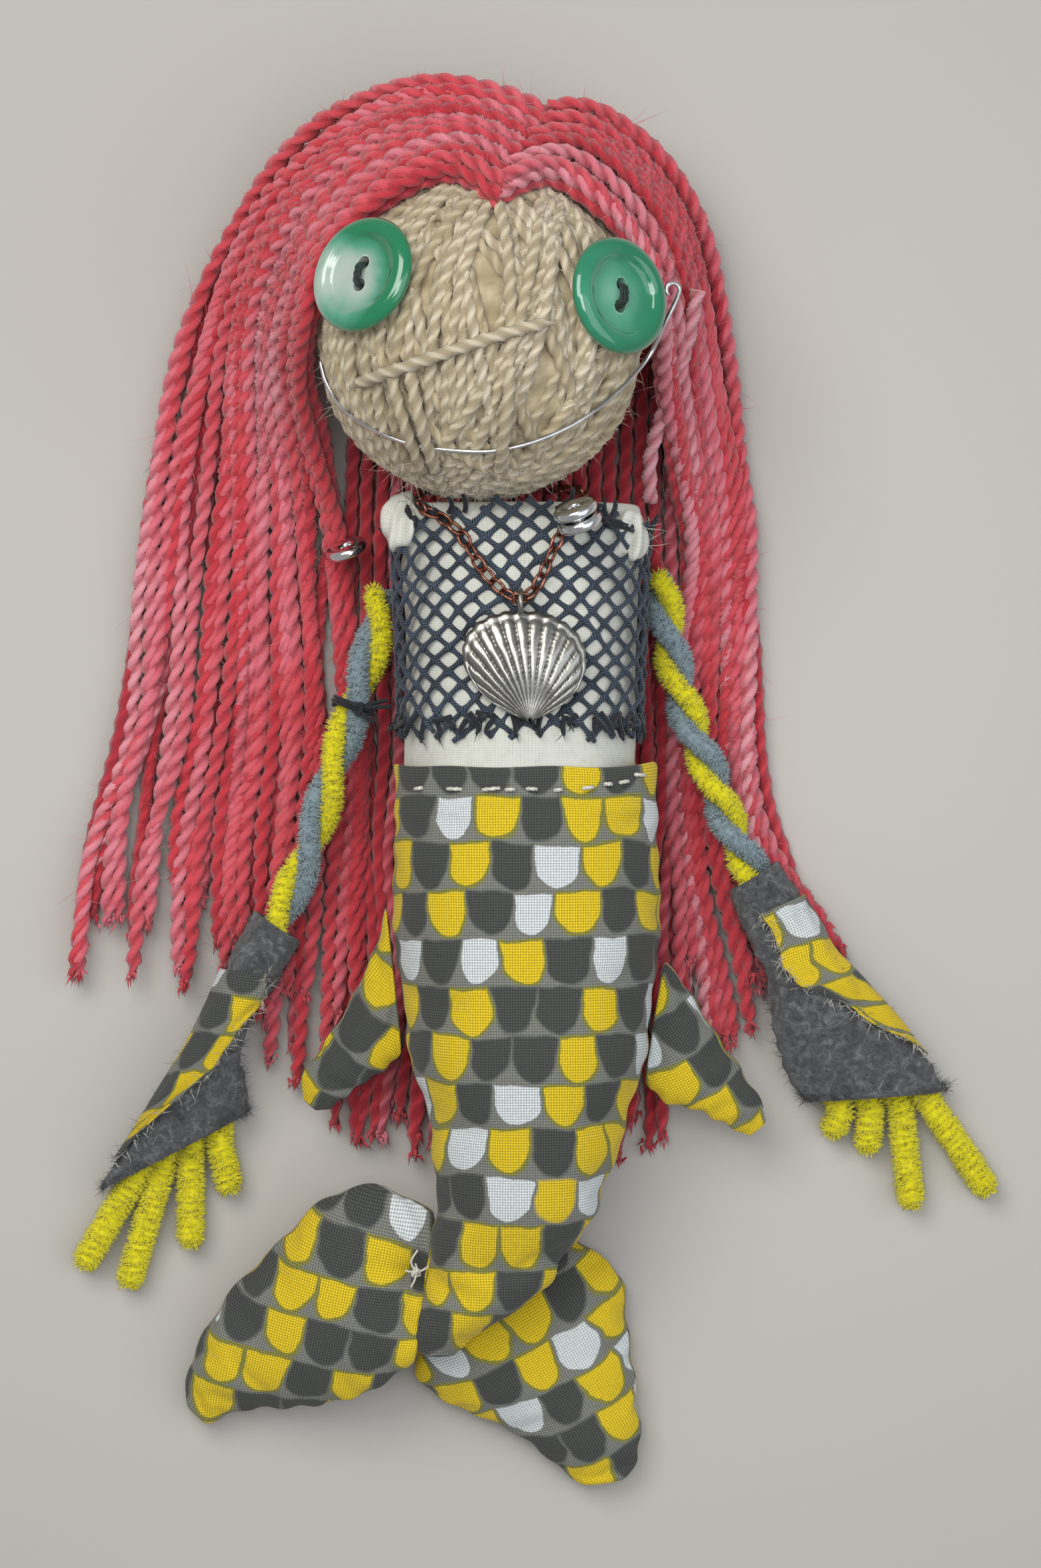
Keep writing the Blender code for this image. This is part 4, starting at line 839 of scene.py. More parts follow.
@dataclass
class WoundHead:
    """The head: a ball of beige yarn, wound mostly from crown to chin, with a few loose strands across."""

    yarn: Yarn = field(default_factory=lambda: Yarn(radius=1.35, pitch=7.0, sides=6, waist=0.36,
                                                     fuzz_width=0.045))
    loops: int = 72
    stations: int = 112
    slant: float = 0.36
    fuzz_amount: int = 4600
    down_amount: int = 7000
    strand_points: int = 90
    cover_points: int = 40
    seed: int = 11
    # The last colour is the painted shade in the grooves between the plies.
    wool: SpunWool = SpunWool("beige_spun_wool", ((0.0, "#BDAE8C"), (0.35, "#D9CCAB"), (0.7, "#EADFC4"),
                                                  (1.0, "#F6EFDC")), "#9A8A6A")

    def winding_paths(self, dice: Dice) -> Array:
        """Give the loops: circles whose planes nearly hold the Y axis, at radii that rise and fall.

        Returns:
            Loops by stations by three coordinates.
        """
        turn = (np.arange(self.loops) * 0.618034 % 1.0) * math.pi
        lean = dice.normal(0, self.slant, self.loops)
        normal = unit(xyz(np.cos(turn), lean, np.sin(turn)))
        first = unit(np.cross(normal, [0.05, 1.0, 0.02]))
        second = np.cross(normal, first)
        angle = circle(self.stations)
        level = (np.arange(self.loops) % 3) * 0.55 - 1.75
        waves = dice.integers(2, 5, (self.loops, 1))
        lift = level[:, None] + 0.45 * np.sin(angle * waves + turn[:, None] * 7)
        shift = dice.uniform(-2.4, 2.4, (self.loops, 1))
        radius = np.sqrt((HEAD_RADIUS + lift) ** 2 - shift ** 2)[..., None]
        ring = around(angle, first[:, None], second[:, None])
        return HEAD_CENTRE + radius * ring + (shift * normal)[:, None]

    def core(self) -> Surface:
        """Make the inner ball that shows between the outer windings, ridged by the windings under them, with
        painted shade in the gaps.
        """
        angle = circle(90)
        fall = np.linspace(0.04, math.pi - 0.04, 100)[:, None]
        slant = fall + 0.12 * np.sin(angle)
        ridge = np.abs(np.sin(slant * HEAD_RADIUS / self.yarn.radius * 0.55))
        radius = HEAD_RADIUS - 2.3 + 0.9 * ridge
        ball = ball_points(fall, angle)
        points = HEAD_CENTRE + radius[..., None] * ball
        plies = np.abs(np.sin(angle * 26 + slant * 22))
        # Painted shade: low values darken the inner ball where it shows between the windings, most between
        # its ridges and plies.
        groove = np.append((0.15 + 0.75 * ridge * plies)[:, ::-1].ravel(), [0.3, 0.3])
        return grid_surface(points[:, ::-1], capped=True).mark(tone=0.3, groove=groove)

    def build(self) -> None:
        """Wind the ball, lay the strand across the face and grow the fuzz."""
        dice = np.random.default_rng(self.seed)
        material = self.wool.material()
        paths = self.winding_paths(dice)
        across = unit(paths - HEAD_CENTRE)
        tone = np.broadcast_to(dice.uniform(0.25, 0.85, (self.loops, 1)), paths.shape[:2])
        wound = self.yarn.spin(paths, across, tone, dice.uniform(0, TAU, self.loops), closed=True)
        new_piece("head_windings", joined([self.core(), wound]), material, ["head_ball"])
        face = [(-0.78, -0.37), (-0.6, -0.32), (-0.4, -0.265), (-0.1, -0.17), (0.25, -0.06), (0.46, -0.01)]
        spots = np.array(face) * HEAD_RADIUS
        line = curve_through(on_head(*spots.T, 1.3), self.strand_points)[None]
        number = np.arange(self.strand_points)
        ends = np.clip(np.minimum(number, number[::-1]) / 6.0, 0.3, 1.0)
        strand = self.yarn.spin(line, [0, 0, 1.0], np.full(line.shape[:2], 0.72), np.zeros(1), thin=ends)
        new_piece("face_yarn", strand, material, ["face_strand"])
        low, high = ([(x * share, y) for x in (-14.6, -11.4, 5.2)]
                     for share, y in ((0.72, -27.0), (1.12, -9.0)))
        spots = np.linspace(low, high, self.cover_points, axis=1)
        covers = on_head(spots[..., 0], spots[..., 1], 1.35)
        rise = np.sin(np.linspace(0, math.pi, self.cover_points)) ** 0.6
        covers = covers + unit(covers - HEAD_CENTRE) * (rise[None, :, None] * 1.5 - 1.2)
        over = self.yarn.spin(covers, [0, 0, 1.0], np.full(covers.shape[:2], 0.6), np.arange(3.0))
        new_piece("yarn_over_smile", over, material)
        outer = paths[np.arange(self.loops) % 3 == 2]
        hairs = self.yarn.fuzz(outer, tone[:len(outer)], self.fuzz_amount, 1.5, dice)
        keep = self.clear_of_face(joined([hairs, self.down(outer, dice)]))
        new_piece("head_fuzz", keep, material, smooth=False)

    def down(self, paths: Array, dice: Dice) -> Surface:
        """Raise short straight fibres all over the outer loops."""
        amount = self.down_amount
        which, place = dice.integers(0, len(paths), amount), dice.integers(1, self.stations - 1, amount)
        out = unit(paths[which, place] - HEAD_CENTRE)
        lean = dice.normal(size=(amount, 3))
        roots = paths[which, place] + unit(out + lean) * self.yarn.radius * 0.7
        spikes = fibres(roots, out * 0.5 + lean, dice.uniform(0.5, 1.5, amount), 0.07)
        return spikes.mark(tone=np.repeat(dice.uniform(0.55, 1.0, amount), 4), groove=1.0)

    def clear_of_face(self, hairs: Surface) -> Surface:
        """Push the fibres' points out of the ball, to at least its radius from its centre."""
        from_centre = hairs.points - HEAD_CENTRE
        reach = norm(from_centre, axis=1, keepdims=True)
        hairs.points = HEAD_CENTRE + from_centre / reach * np.maximum(reach, HEAD_RADIUS - 0.4)
        return hairs


@dataclass
class HairSide:
    """One curtain of hair: two edge strands, with the others between them."""

    inner: Array
    outer: Array
    ends: tuple[float, ...]
    tones: tuple[tuple[float, float], ...]  # (share across, chance that a strand is pink)
    strands: int
    under_strands: int

    def place(self, u: Array, v: Array) -> Array:
        """Give points between the edges: inner(v) (1 - u) + outer(v) u."""
        index = np.linspace(0, 1, len(self.inner))
        return (read_at(v, index, self.inner) * (1 - u[..., None])
                + read_at(v, index, self.outer) * u[..., None])

    def lay(self, dice: Dice, layer: int, stations: int) -> tuple[Array, Array, Array]:
        """Lay one layer of strands.

        Each strand keeps its share between the edges, drifts aside by slow noise and by a wave of its own,
        sinks by its layer, and piles up near the parting, where the strands are crowded and start low.

        Args:
            dice: The random numbers.
            layer: 0 on top, 1 below it.
            stations: Points along each strand.

        Returns:
            The paths, a direction across them and the tone at each point.
        """
        count = self.under_strands if layer else self.strands
        share = (np.arange(count) + dice.uniform(0.25, 0.75, count)) / count
        v = np.linspace(0, 1, 100)[None, :]
        end = np.interp(share, (np.arange(len(self.ends)) + 0.5) / len(self.ends), self.ends)
        end = np.clip(end - dice.exponential(0.045, count) + 0.03 - 0.03 * layer, 0.6, 1.0)[:, None]
        v = v * end
        drift = dice.normal(0, 1.1, (count, 1)) / count
        drift = drift * np.sin(v * math.pi * dice.uniform(0.8, 2.2, (count, 1)))
        u = np.clip(share[:, None] + drift, 0.005, 0.995)
        middle = self.place(u, v)
        ahead = unit(np.gradient(middle, axis=1))
        wide = self.place(np.ones_like(v), v) - self.place(np.zeros_like(v), v)
        up = unit(np.cross(ahead, wide))
        up = np.where(up[..., 2:] < 0, -up, up)
        crowd = np.exp(-v / 0.1) * ((np.arange(count) * 2 % 3) * 1.3)[:, None]
        sink = eased(v, ((0.0, 1.35 + 2.1 * layer), (0.45, 1.4 + 2.4 * layer), (1.0, 1.5 + 2.5 * layer)))
        loose = eased(v, ((0.0, 0.12), (0.35, 0.5), (1.0, 1.0)))
        keys = xyz(middle[..., 0], middle[..., 1], share[:, None] * 90)
        own = xyz(v * 200, share[:, None] * 2000, 0.0)
        wave = smooth_noise(keys, 34.0, 5 + layer) * 1.2 + smooth_noise(own, 24.0, 8 + layer)
        lift = smooth_noise(keys, 21.0, 15 + layer) * 0.5 + smooth_noise(own, 19.0, 12 + layer) * 0.6
        root = np.exp(-v / 0.012)
        across = unit(wide)
        paths = middle + up * (crowd - sink + lift * loose - 2.6 * root)[..., None]
        paths = paths + across * (wave * loose)[..., None] - ahead * (1.9 * root)[..., None]
        patch = xyz(v * 200, share[:, None] * 160, 0.0)
        pink = np.interp(share, *zip(*self.tones))[:, None] - dice.uniform(size=(count, 1))
        pink = np.clip(0.5 + 1.1 * pink + 0.3 * smooth_noise(patch, 60.0, 51 + layer), 0, 1)
        # Painted shade: the layer under the top strands is painted 0.08 darker.
        tone = 0.26 + 0.46 * pink + dice.normal(0, 0.04, (count, 1)) - 0.08 * layer
        tone = tone + 0.14 * smooth_noise(own, 120.0, 21 + layer)
        return resampled(paths, across, np.clip(tone, 0, 1), stations)


def resampled(paths: Array, across: Array, tone: Array, stations: int) -> tuple[Array, Array, Array]:
    """Place stations evenly along each path, with the direction and tone that belong there."""
    everything = np.concatenate([paths, np.broadcast_to(across, paths.shape), tone[..., None]], axis=2)
    even = np.stack([read_at(np.linspace(0, run[-1], stations), run, rows)
                     for run, rows in zip(run_along(paths), everything)])
    return even[..., :3], even[..., 3:6], even[..., 6]


@dataclass
class Hair:
    """The hair: strands knotted along a parting that fall to both sides, and a bed of strands behind."""

    yarn: Yarn = field(default_factory=lambda: Yarn(radius=1.62, pitch=8.4, waist=0.46))
    under_yarn: Yarn = field(default_factory=lambda: Yarn(radius=1.55, pitch=8.4, sides=6, waist=0.46))
    stations: tuple[int, int] = (156, 106)
    fuzz_each: tuple[int, int, int] = (120, 20, 26)  # on a strand of the top layer, of one under it, behind
    back_strands: int = 23
    back_width: float = 67.0
    edge_points: int = 121
    seed: int = 23
    # The last colour is the painted shade in the grooves between the plies.
    wool: SpunWool = SpunWool("red_spun_wool", ((0.0, "#B9303E"), (0.28, "#D8424E"), (0.52, "#E25C68"),
                                                (0.76, "#EA8796"), (1.0, "#F4B6BF")), "#9A2833")

    def sides(self) -> tuple[HairSide, HairSide]:
        """Give the two curtains on the routes of the solid locks."""
        crown = HEAD_CENTRE + (12.7, 44.0, -6.5)
        x, y, _ = HEAD_CENTRE
        lift = 5.1
        left_inner = list(on_head(*np.array([(2.2, 26.5), (-6.5, 29.6), (-17.5, 25.0), (-28.8, 15.0),
                                             (-33.4, 2.0)]).T, lift))
        left_inner += [(x - 35, y - 11, 31), (x - 31.5, y - 24, 18), (-34, 43, HAIR_TOP + 1.5)]
        left_inner += [(-31, 20, HAIR_TOP), (-30, -25, HAIR_TOP), (-29, -70, HAIR_TOP)]
        left_outer = [crown - (1, 0, 0), (-17, y + 49.5, 27), (-35.5, y + 44.5, 20), (-50, y + 33, 14)]
        left_outer += [(-59.5, y + 18, 9), (-66.5, y - 4, HAIR_TOP), (-70.5, 60, HAIR_TOP)]
        left_outer += [(-73, 36, HAIR_TOP), (-78.5, 6, HAIR_TOP), (-85, -37, HAIR_TOP)]
        right_inner = list(on_head(*np.array([(4.8, 26.0), (14.0, 28.5), (24.0, 21.5), (31.5, 12.0),
                                              (34.0, 1.5)]).T, lift))
        right_inner += [(x + 35, y - 11, 32), (x + 37.5, y - 24, 19), (32.5, 43, HAIR_TOP + 1.5)]
        right_inner += [(30.5, 20, HAIR_TOP), (29.8, -15, HAIR_TOP), (31, -56, HAIR_TOP)]
        right_outer = [crown + (2.6, 0, 0), (16, y + 42, 26), (27, y + 35.5, 19), (35, y + 24, 12)]
        right_outer += [(39.5, y + 9, 8), (42, y - 8, HAIR_TOP), (43.5, 54, HAIR_TOP), (44.5, 30, HAIR_TOP)]
        right_outer += [(47.5, -4, HAIR_TOP), (63.5, -33, HAIR_TOP)]
        edges = [curve_through(knots, self.edge_points)
                 for knots in (left_inner, left_outer, right_inner, right_outer)]
        left = HairSide(*edges[:2], (1.0, 0.97, 0.93, 0.9, 0.93, 0.99),
                        ((0.0, 0.05), (0.16, 0.25), (0.3, 0.6), (0.55, 0.7), (0.75, 0.4), (1.0, 0.3)), 27, 17)
        right = HairSide(*edges[2:], (0.97, 1.0, 0.95, 0.98),
                         ((0.0, 0.6), (0.25, 0.75), (0.5, 0.45), (0.75, 0.4), (1.0, 0.2)), 17, 10)
        return left, right

    def back(self, dice: Dice, layer: int, stations: int) -> tuple[Array, Array, Array]:
        """Lay the strands behind head and body: an arc round the back of the ball, then flat to the tips."""
        count = self.back_strands
        share = (np.arange(count) + 0.5) / count * 2 - 1
        tip = -70 + dice.uniform(-9, 14, count) + 12 * np.abs(share) ** 2
        depth = 1.6 + 2.2 * layer
        radius = HEAD_RADIUS + SEAT_GAP + HAIR_TOP - depth
        turn = np.radians(np.linspace(72, 0, 30))
        narrow = np.sqrt(np.cos(turn))
        x0, y0, z0 = HEAD_CENTRE
        aside = share[:, None] * self.back_width / 2
        arc = xyz((x0 + 3.0) * (1 - narrow) + aside * narrow, y0 + radius * np.sin(turn),
                  z0 - radius * np.cos(turn))
        down = np.linspace(0, 1, 60)[None, 1:]
        y = y0 + (tip[:, None] - y0) * down
        paths = np.concatenate([arc, xyz(aside, y, depth)], axis=1)
        keys = paths + np.array([0, 0, 40.0 * layer])
        loose = eased(paths[..., 1], ((-70, 1.0), (60, 0.3)))
        paths[..., 0] += smooth_noise(keys, 30.0, 31) * 1.3 * loose
        paths[..., 0] += smooth_noise(keys * (25.0, 1.0, 1.0), 22.0, 35) * 0.8 * loose
        tone = 0.24 + 0.14 * smooth_noise(keys, 50.0, 33) + 0.4 * (dice.uniform(size=(count, 1)) < 0.25)
        return resampled(paths, np.array([1.0, 0.0, 0.0]), np.clip(tone, 0, 1), stations)

    def frayed_tips(self, paths: Array, tone: Array, dice: Dice) -> Surface:
        """Grow a small brush of wool at the cut end of each strand."""
        count, each = len(paths), 16
        ahead = np.repeat(unit(paths[:, -1] - paths[:, -4]), each, axis=0)
        roots = np.repeat(paths[:, -1], each, axis=0) - ahead * 0.6 + dice.normal(0, 0.55, (count * each, 3))
        ways = ahead + dice.normal(0, 0.35, (count * each, 3))
        brush = fibres(roots, ways, dice.uniform(0.9, 2.8, count * each), 0.34)
        # Painted shade: the brush is darkened a little, as in a groove.
        return brush.mark(tone=np.repeat(tone[:, -1], 4 * each), groove=0.9).above(0.15)

    def build(self) -> None:
        """Spin all the strands and their fuzz, in pieces for each side and the back."""
        dice = np.random.default_rng(self.seed)
        material = self.wool.material()
        left, right = self.sides()
        many, few = self.stations
        top, under = (self.yarn, self.fuzz_each[0]), (self.under_yarn, self.fuzz_each[1])
        behind = (self.under_yarn, self.fuzz_each[2])
        sets = {
            "left": [(left.lay(dice, 0, many), top), (left.lay(dice, 1, few), under)],
            "right": [(right.lay(dice, 0, many), top), (right.lay(dice, 1, few), under)],
            "back": [(self.back(dice, 0, few), behind), (self.back(dice, 1, few), behind)],
        }
        locks = {"left": 6, "right": 4, "back": 5}
        for name, layers in sets.items():
            strands, loose = [], []
            for (paths, across, tone), (yarn, each) in layers:
                stations = paths.shape[1]
                paths[..., 2] = np.maximum(paths[..., 2], 1.3)
                thin = np.clip((stations - 1 - np.arange(stations)) / 2.0, 0.6, 1.0)[None]
                strands.append(yarn.spin(paths, across, tone, dice.uniform(0, TAU, len(paths)), thin=thin))
                loose.append(yarn.fuzz(paths, tone, each * len(paths), 2.0, dice).above(0.1))
                loose.append(self.frayed_tips(paths, tone, dice))
            nodes = [f"hair_{name}_{number + 1}" for number in range(locks[name])]
            new_piece(f"hair_{name}", joined(strands), material, nodes)
            new_piece(f"hair_{name}_fuzz", joined(loose), material, smooth=False)
        self.spin_front_strand(material)

    def spin_front_strand(self, material: Material) -> None:
        """Spin the pale strand that hangs in front of the right cheek and goes behind the shoulder."""
        knots = [(33.0, 92.0, 30.0), (31.0, 82.0, 27.5), (27.5, 72.0, 23.5), (24.5, 62.0, 19.5),
                 (24.5, 53.5, 15.0)]
        path = curve_through(knots, 48)[None]
        strand = self.yarn.spin(path, [1.0, 0, 0], np.full(path.shape[:2], 0.95), np.zeros(1))
        new_piece("hair_cheek_strand", strand, material)


def applied(thing: Thing) -> Thing:
    """Turn an object's modifiers into its mesh."""
    bpy.context.view_layer.update()
    graph = bpy.context.evaluated_depsgraph_get()
    mesh = bpy.data.meshes.new_from_object(thing.evaluated_get(graph), preserve_all_data_layers=True,
                                           depsgraph=graph)
    thing.modifiers.clear()
    thing.data = mesh
    return thing


@dataclass
class Stuffing:
    """Cloth filled with fibre: the sewn seams stay, and the cloth between them swells under pressure."""

    pressure: float = 4.0
    frames: int = 20
    cap_mm: float = 1.6
    enlarge: float = 8.0

    def fill(self, thing: Thing, held: Array) -> None:
        """Run Cloth on a piece, cap how far its points move and add one subdivision.

        The mesh is enlarged for the simulation, because cloth settings suit larger things, and is brought
        back to size afterwards.

        Args:
            thing: The piece, a closed mesh.
            held: A weight of 0 to 1 for each point, 1 where it is sewn fast.
        """
        mesh = thing.data
        count = len(mesh.vertices)
        start = np.empty(count * 3, dtype=np.float32)
        mesh.vertices.foreach_get("co", start)
        moved = self.simulate(thing, start, held)
        shift = (moved - start).reshape(-1, 3)
        length = norm(shift, axis=1, keepdims=True)
        cap = self.cap_mm * MM
        shift *= cap * np.tanh(length / cap) / np.maximum(length, 1e-9)
        mesh.vertices.foreach_set("co", (start + shift.ravel()).astype(np.float32))
        mesh.update()
        finer = thing.modifiers.new("finer", "SUBSURF")
        finer.levels = finer.render_levels = 1
        applied(thing)

    def simulate(self, thing: Thing, start: Array, held: Array) -> Array:
        """Give the points' places after the simulation, at the piece's own size."""
        mesh, scene = thing.data, bpy.context.scene
        middle = np.tile(start.reshape(-1, 3).mean(axis=0), len(mesh.vertices))
        mesh.vertices.foreach_set("co", ((start - middle) * self.enlarge).astype(np.float32))
        mesh.update()
        group = thing.vertex_groups.new(name="sewn")
        for weight in np.unique(np.round(held, 1)):
            if weight > 0:
                group.add(np.flatnonzero(np.round(held, 1) == weight).tolist(), float(weight), "REPLACE")
        cloth = thing.modifiers.new("stuffed", "CLOTH")
        settings = {"quality": 6, "mass": 0.3, "tension_stiffness": 12.0, "compression_stiffness": 6.0,
                    "bending_stiffness": 0.4, "use_pressure": True, "uniform_pressure_force": self.pressure,
                    "shrink_min": -0.035, "vertex_group_mass": "sewn"}
        for key, value in settings.items():
            setattr(cloth.settings, key, value)
        cloth.settings.effector_weights.gravity = 0.0
        for number in range(1, self.frames + 1):
            scene.frame_set(number)
        graph = bpy.context.evaluated_depsgraph_get()
        result = thing.evaluated_get(graph).data
        moved = np.empty(len(mesh.vertices) * 3, dtype=np.float32)
        result.vertices.foreach_get("co", moved)
        thing.modifiers.remove(cloth)
        thing.vertex_groups.clear()
        scene.frame_set(1)
        return moved / self.enlarge + middle


@dataclass
class Torso:
    """The calico body, with its gathered shoulder corners."""

    rows: int = 42
    columns: int = 56
    in_tail: float = 11.0
    cloth: PlainCalico = PlainCalico()
    stuffing: Stuffing = field(default_factory=lambda: Stuffing(cap_mm=1.0))

    def shape(self) -> tuple[Surface, Array]:
        """Loft the body: the torso's oblong from the waist up, closing over the shoulders to the neck.

        Returns:
            The surface, and a weight that holds its ends.
        """
        angle = -circle(self.columns)
        low = WAIST_Y - self.in_tail
        t = np.linspace(0, 1, self.rows)[:, None]
        y = low + (SHOULDER_Y - low) * np.minimum(t / 0.86, 1.0)
        body = on_body(y, angle[None], 0.0)
        middle = np.array([0.0, 0.0, BODY_Z])
        over = np.clip((t - 0.8) / 0.2, 0, 1)[..., None]
        narrow = 1 - 0.1 * over ** 2 - 0.45 * np.clip((over - 0.35) / 0.65, 0, 1) ** 1.5
        depth = narrow * 0.9 + 0.1 - 0.25 * over
        body = (body - middle) * np.concatenate([narrow, np.ones_like(narrow), depth], axis=-1) + middle
        body[..., 0] -= 2.0 * over[..., 0]
        body[..., 1] = np.minimum(body[..., 1], SHOULDER_Y) + 0.7 * over[..., 0]
        pinch = np.exp(-((y - WAIST_Y - 6.0) / 7.0) ** 2)
        body[..., 2] += 0.25 * pinch * np.sin(angle * 5)
        run = np.arange(self.columns + 1) / self.columns * 2 * (CHEST_WIDTH + TORSO_DEPTH) * 0.86
        surface = grid_surface(body, capped=True, uv=xyz(run, np.append(y[:, 0], y[-1, 0])[:, None]))
        held = np.repeat(np.where((t[:, 0] < 0.12) | (t[:, 0] > 0.84), 1.0, 0.0), self.columns)
        return surface, np.concatenate([held, [1.0, 1.0]])

    def corner(self, centre: Sequence[float], size: tuple[float, float, float], seed: int) -> Surface:
        """Gather a shoulder corner: a ball whose radius is pleated by sines round its pole.

        Args:
            centre: The middle of the corner.
            size: Half its width, height and depth.
            seed: The seed of its lumps.

        Returns:
            The corner's surface.
        """
        angle = circle(56)
        fall = np.linspace(0.05, math.pi - 0.05, 30)[:, None]
        ball = ball_points(fall, angle)
        pleat = 1 + 0.11 * np.sin(angle * 7 + 3 * fall) * np.sin(fall) ** 2
        lumps = 1 + 0.14 * smooth_noise(ball * 3.0, 2.2, seed)
        ball = np.sign(ball) * np.abs(ball) ** 0.8
        points = np.asarray(centre) + ball * (pleat * lumps)[..., None] * np.asarray(size)
        cell = 0.4
        uv = xyz(np.arange(len(fall) + 1)[:, None] * cell, np.arange(len(angle) + 1) * cell)
        return grid_surface(points[:, ::-1], capped=True, uv=uv)

    def frayed(self, spots: Array, way: Array, dice: Dice) -> Surface:
        """Grow loose cotton threads from a raw edge."""
        count = len(spots)
        return fibres(spots, way + dice.normal(0, 0.5, (count, 3)), dice.uniform(1.0, 4.5, count), 0.09,
                      dice.normal(size=(count, 3)))

    def build(self) -> None:
        """Make the body, stuff it and add its gathered corners."""
        dice = np.random.default_rng(41)
        material = self.cloth.material()
        surface, held = self.shape()
        body = new_piece("calico_body", surface, material, ["torso"])
        self.stuffing.fill(body, held)
        top = SHOULDER_Y
        left = self.corner((-22.0, top - 3.6, 27.5), (3.3, 5.2, 6.6), 3)
        right = self.corner((20.2, top - 6.2, 28.5), (3.3, 5.0, 6.4), 4)
        new_piece("calico_corner_left", left, material)
        new_piece("calico_corner_right", right, material)
        spots = np.array([(-20.5, top + 0.5, 29.5), (22.0, top - 4.0, 30.5)])
        spots = np.repeat(spots, 26, axis=0) + dice.normal(0, 1.5, (52, 3))
        ways = np.repeat(np.array([(0.3, 0.6, 0.4), (0.9, -0.2, 0.3)]), 26, axis=0)
        new_piece("calico_frayed_threads", self.frayed(spots, ways, dice), material, smooth=False)


@dataclass
class NetTop:
    """The net tube: two families of threads that cross round the chest, knotted where they meet."""

    cell_across: float = 5.1
    cell_along: float = 4.6
    radius: float = 0.66
    low_y: float = WAIST_Y + 8.4
    high_y: float = WAIST_Y + 46.8
    stations: int = 90
    # Each thread's pale colour is its painted highlight, its dark colour the painted shade in its twist.
    thread: TwistedThread = TwistedThread("knotted_net_thread", "#141B24", "#4A5B6F", 0.65)
    cut_thread: TwistedThread = TwistedThread("cut_net_thread", "#0B0E13", "#252E39", 0.7)

    def place(self, turn: Array, y: Array, lift: Array | float) -> Array:
        """Place points round the chest: turn from 0 to 1 follows the perimeter at equal steps."""
        angle = np.linspace(0, TAU, 721)
        ring = on_body(np.full_like(angle, 30.0), angle, SAFE_GAP + 0.35)
        run = run_along(ring)
        self.perimeter = run[-1]
        at = np.interp((turn % 1.0) * run[-1], run, angle)
        points = on_body(np.clip(y, 0, SHOULDER_Y - 1.2), at, SAFE_GAP + 0.35 + lift)
        return xyz(points[..., 0], y, points[..., 2])

    def top_edge(self, turn: Array) -> Array:
        """Give the net's top edge, which drops towards the body's sides with the cube of the distance."""
        x = self.place(turn, self.high_y + 0 * turn, 0.0)[..., 0]
        return self.high_y + 2.0 - 4.7 * (np.abs(x) / (CHEST_WIDTH / 2)) ** 3

    def build(self) -> Material:
        """Knot the net, with ragged ends at both edges, and give back the material of its cut ends."""
        dice = np.random.default_rng(53)
        self.place(np.zeros(1), np.zeros(1), 0.0)
        count = 2 * round(self.perimeter / self.cell_across / 2)
        rise = (self.high_y - self.low_y) / self.cell_along
        t = np.linspace(0, 1, self.stations)[None]
        families = []
        for way in (-1, 1):
            low = self.low_y - dice.uniform(0.4, 3.6, (count, 1))
            last = (np.arange(count)[:, None] + 0.25 + way * rise) / count
            high = self.top_edge(last) + dice.uniform(-0.6, 1.2, (count, 1))
            y = low + (high - low) * t
            rows = (y - self.low_y) / self.cell_along
            turn = (np.arange(count)[:, None] + 0.25 + way * rows) / count
            wave = smooth_noise(xyz(turn * 90, y, way * 30.0), 6.0, 61) * 0.0035
            knot = np.cos(rows * TAU) ** 2
            lift = 0.2 * way * np.cos(rows * TAU * 0.5) + 0.25
            families.append((self.place(turn + wave, y, lift), 0.8 + 0.5 * knot ** 3))
        paths = np.concatenate([family for family, _ in families])
        radius = self.radius * np.concatenate([size for _, size in families])
        away = unit((paths - np.array([0.0, 0.0, BODY_Z])) * (1.0, 0.0, 1.0))
        across = np.cross(away, np.gradient(paths, axis=1))
        shape = np.array([1.0, 0.74, 0.74, 1.0, 0.74, 0.74])
        net = sweep(paths, across, radius, 6, 0.0, shape)
        piece = new_piece("net_threads", net, self.thread.material(), ["net_top"])
        cut = self.cut_thread.material()
        new_piece("net_ragged_ends", self.ragged(dice), cut, smooth=False)
        LOG.info("%s covers %.0f mm round the chest", piece.name, self.perimeter)
        return cut

    def ragged(self, dice: Dice) -> Surface:
        """Curl short cut ends of thread along both edges, with their unlaid filaments."""
        amount, stations = 130, 10
        turn = dice.uniform(0, 1, (amount, 1))
        at_top = np.arange(amount)[:, None] % 3 == 0
        start = np.where(at_top, self.top_edge(turn) - 1.2, self.low_y + 1.2)
        start = start + dice.uniform(-0.8, 0.8, (amount, 1))
        way = np.where(at_top, 1.0, -1.0)
        t = np.linspace(0, 1, stations)[None]
        length = dice.uniform(2.2, 5.2, (amount, 1))
        swing = dice.normal(0, 1.0, (amount, 1))
        y = start + way * length * t * (1 - 0.35 * np.abs(swing) * t)
        aside = (swing * np.sin(t * 2.2) * length * 0.6) / self.perimeter
        lift = 0.5 + dice.uniform(0, 2.2, (amount, 1)) * t ** 1.5
        paths = self.place(turn + aside, y, lift)
        thin = np.interp(np.linspace(0, 1, stations), [0, 0.8, 1], [1, 0.9, 0.35])[None]
        ends = sweep(paths, np.array([0.3, 0.2, 0.9]), self.radius * 0.85 * thin, 5)
        each = 2
        roots = np.repeat(paths[:, -2], each, axis=0)
        ways = np.repeat(unit(paths[:, -1] - paths[:, -4]), each, axis=0) + dice.normal(0, 0.7, roots.shape)
        lengths = dice.uniform(0.8, 2.2, len(roots))
        return joined([ends, fibres(roots, ways, lengths, 0.12, dice.normal(0, 0.5, roots.shape))])


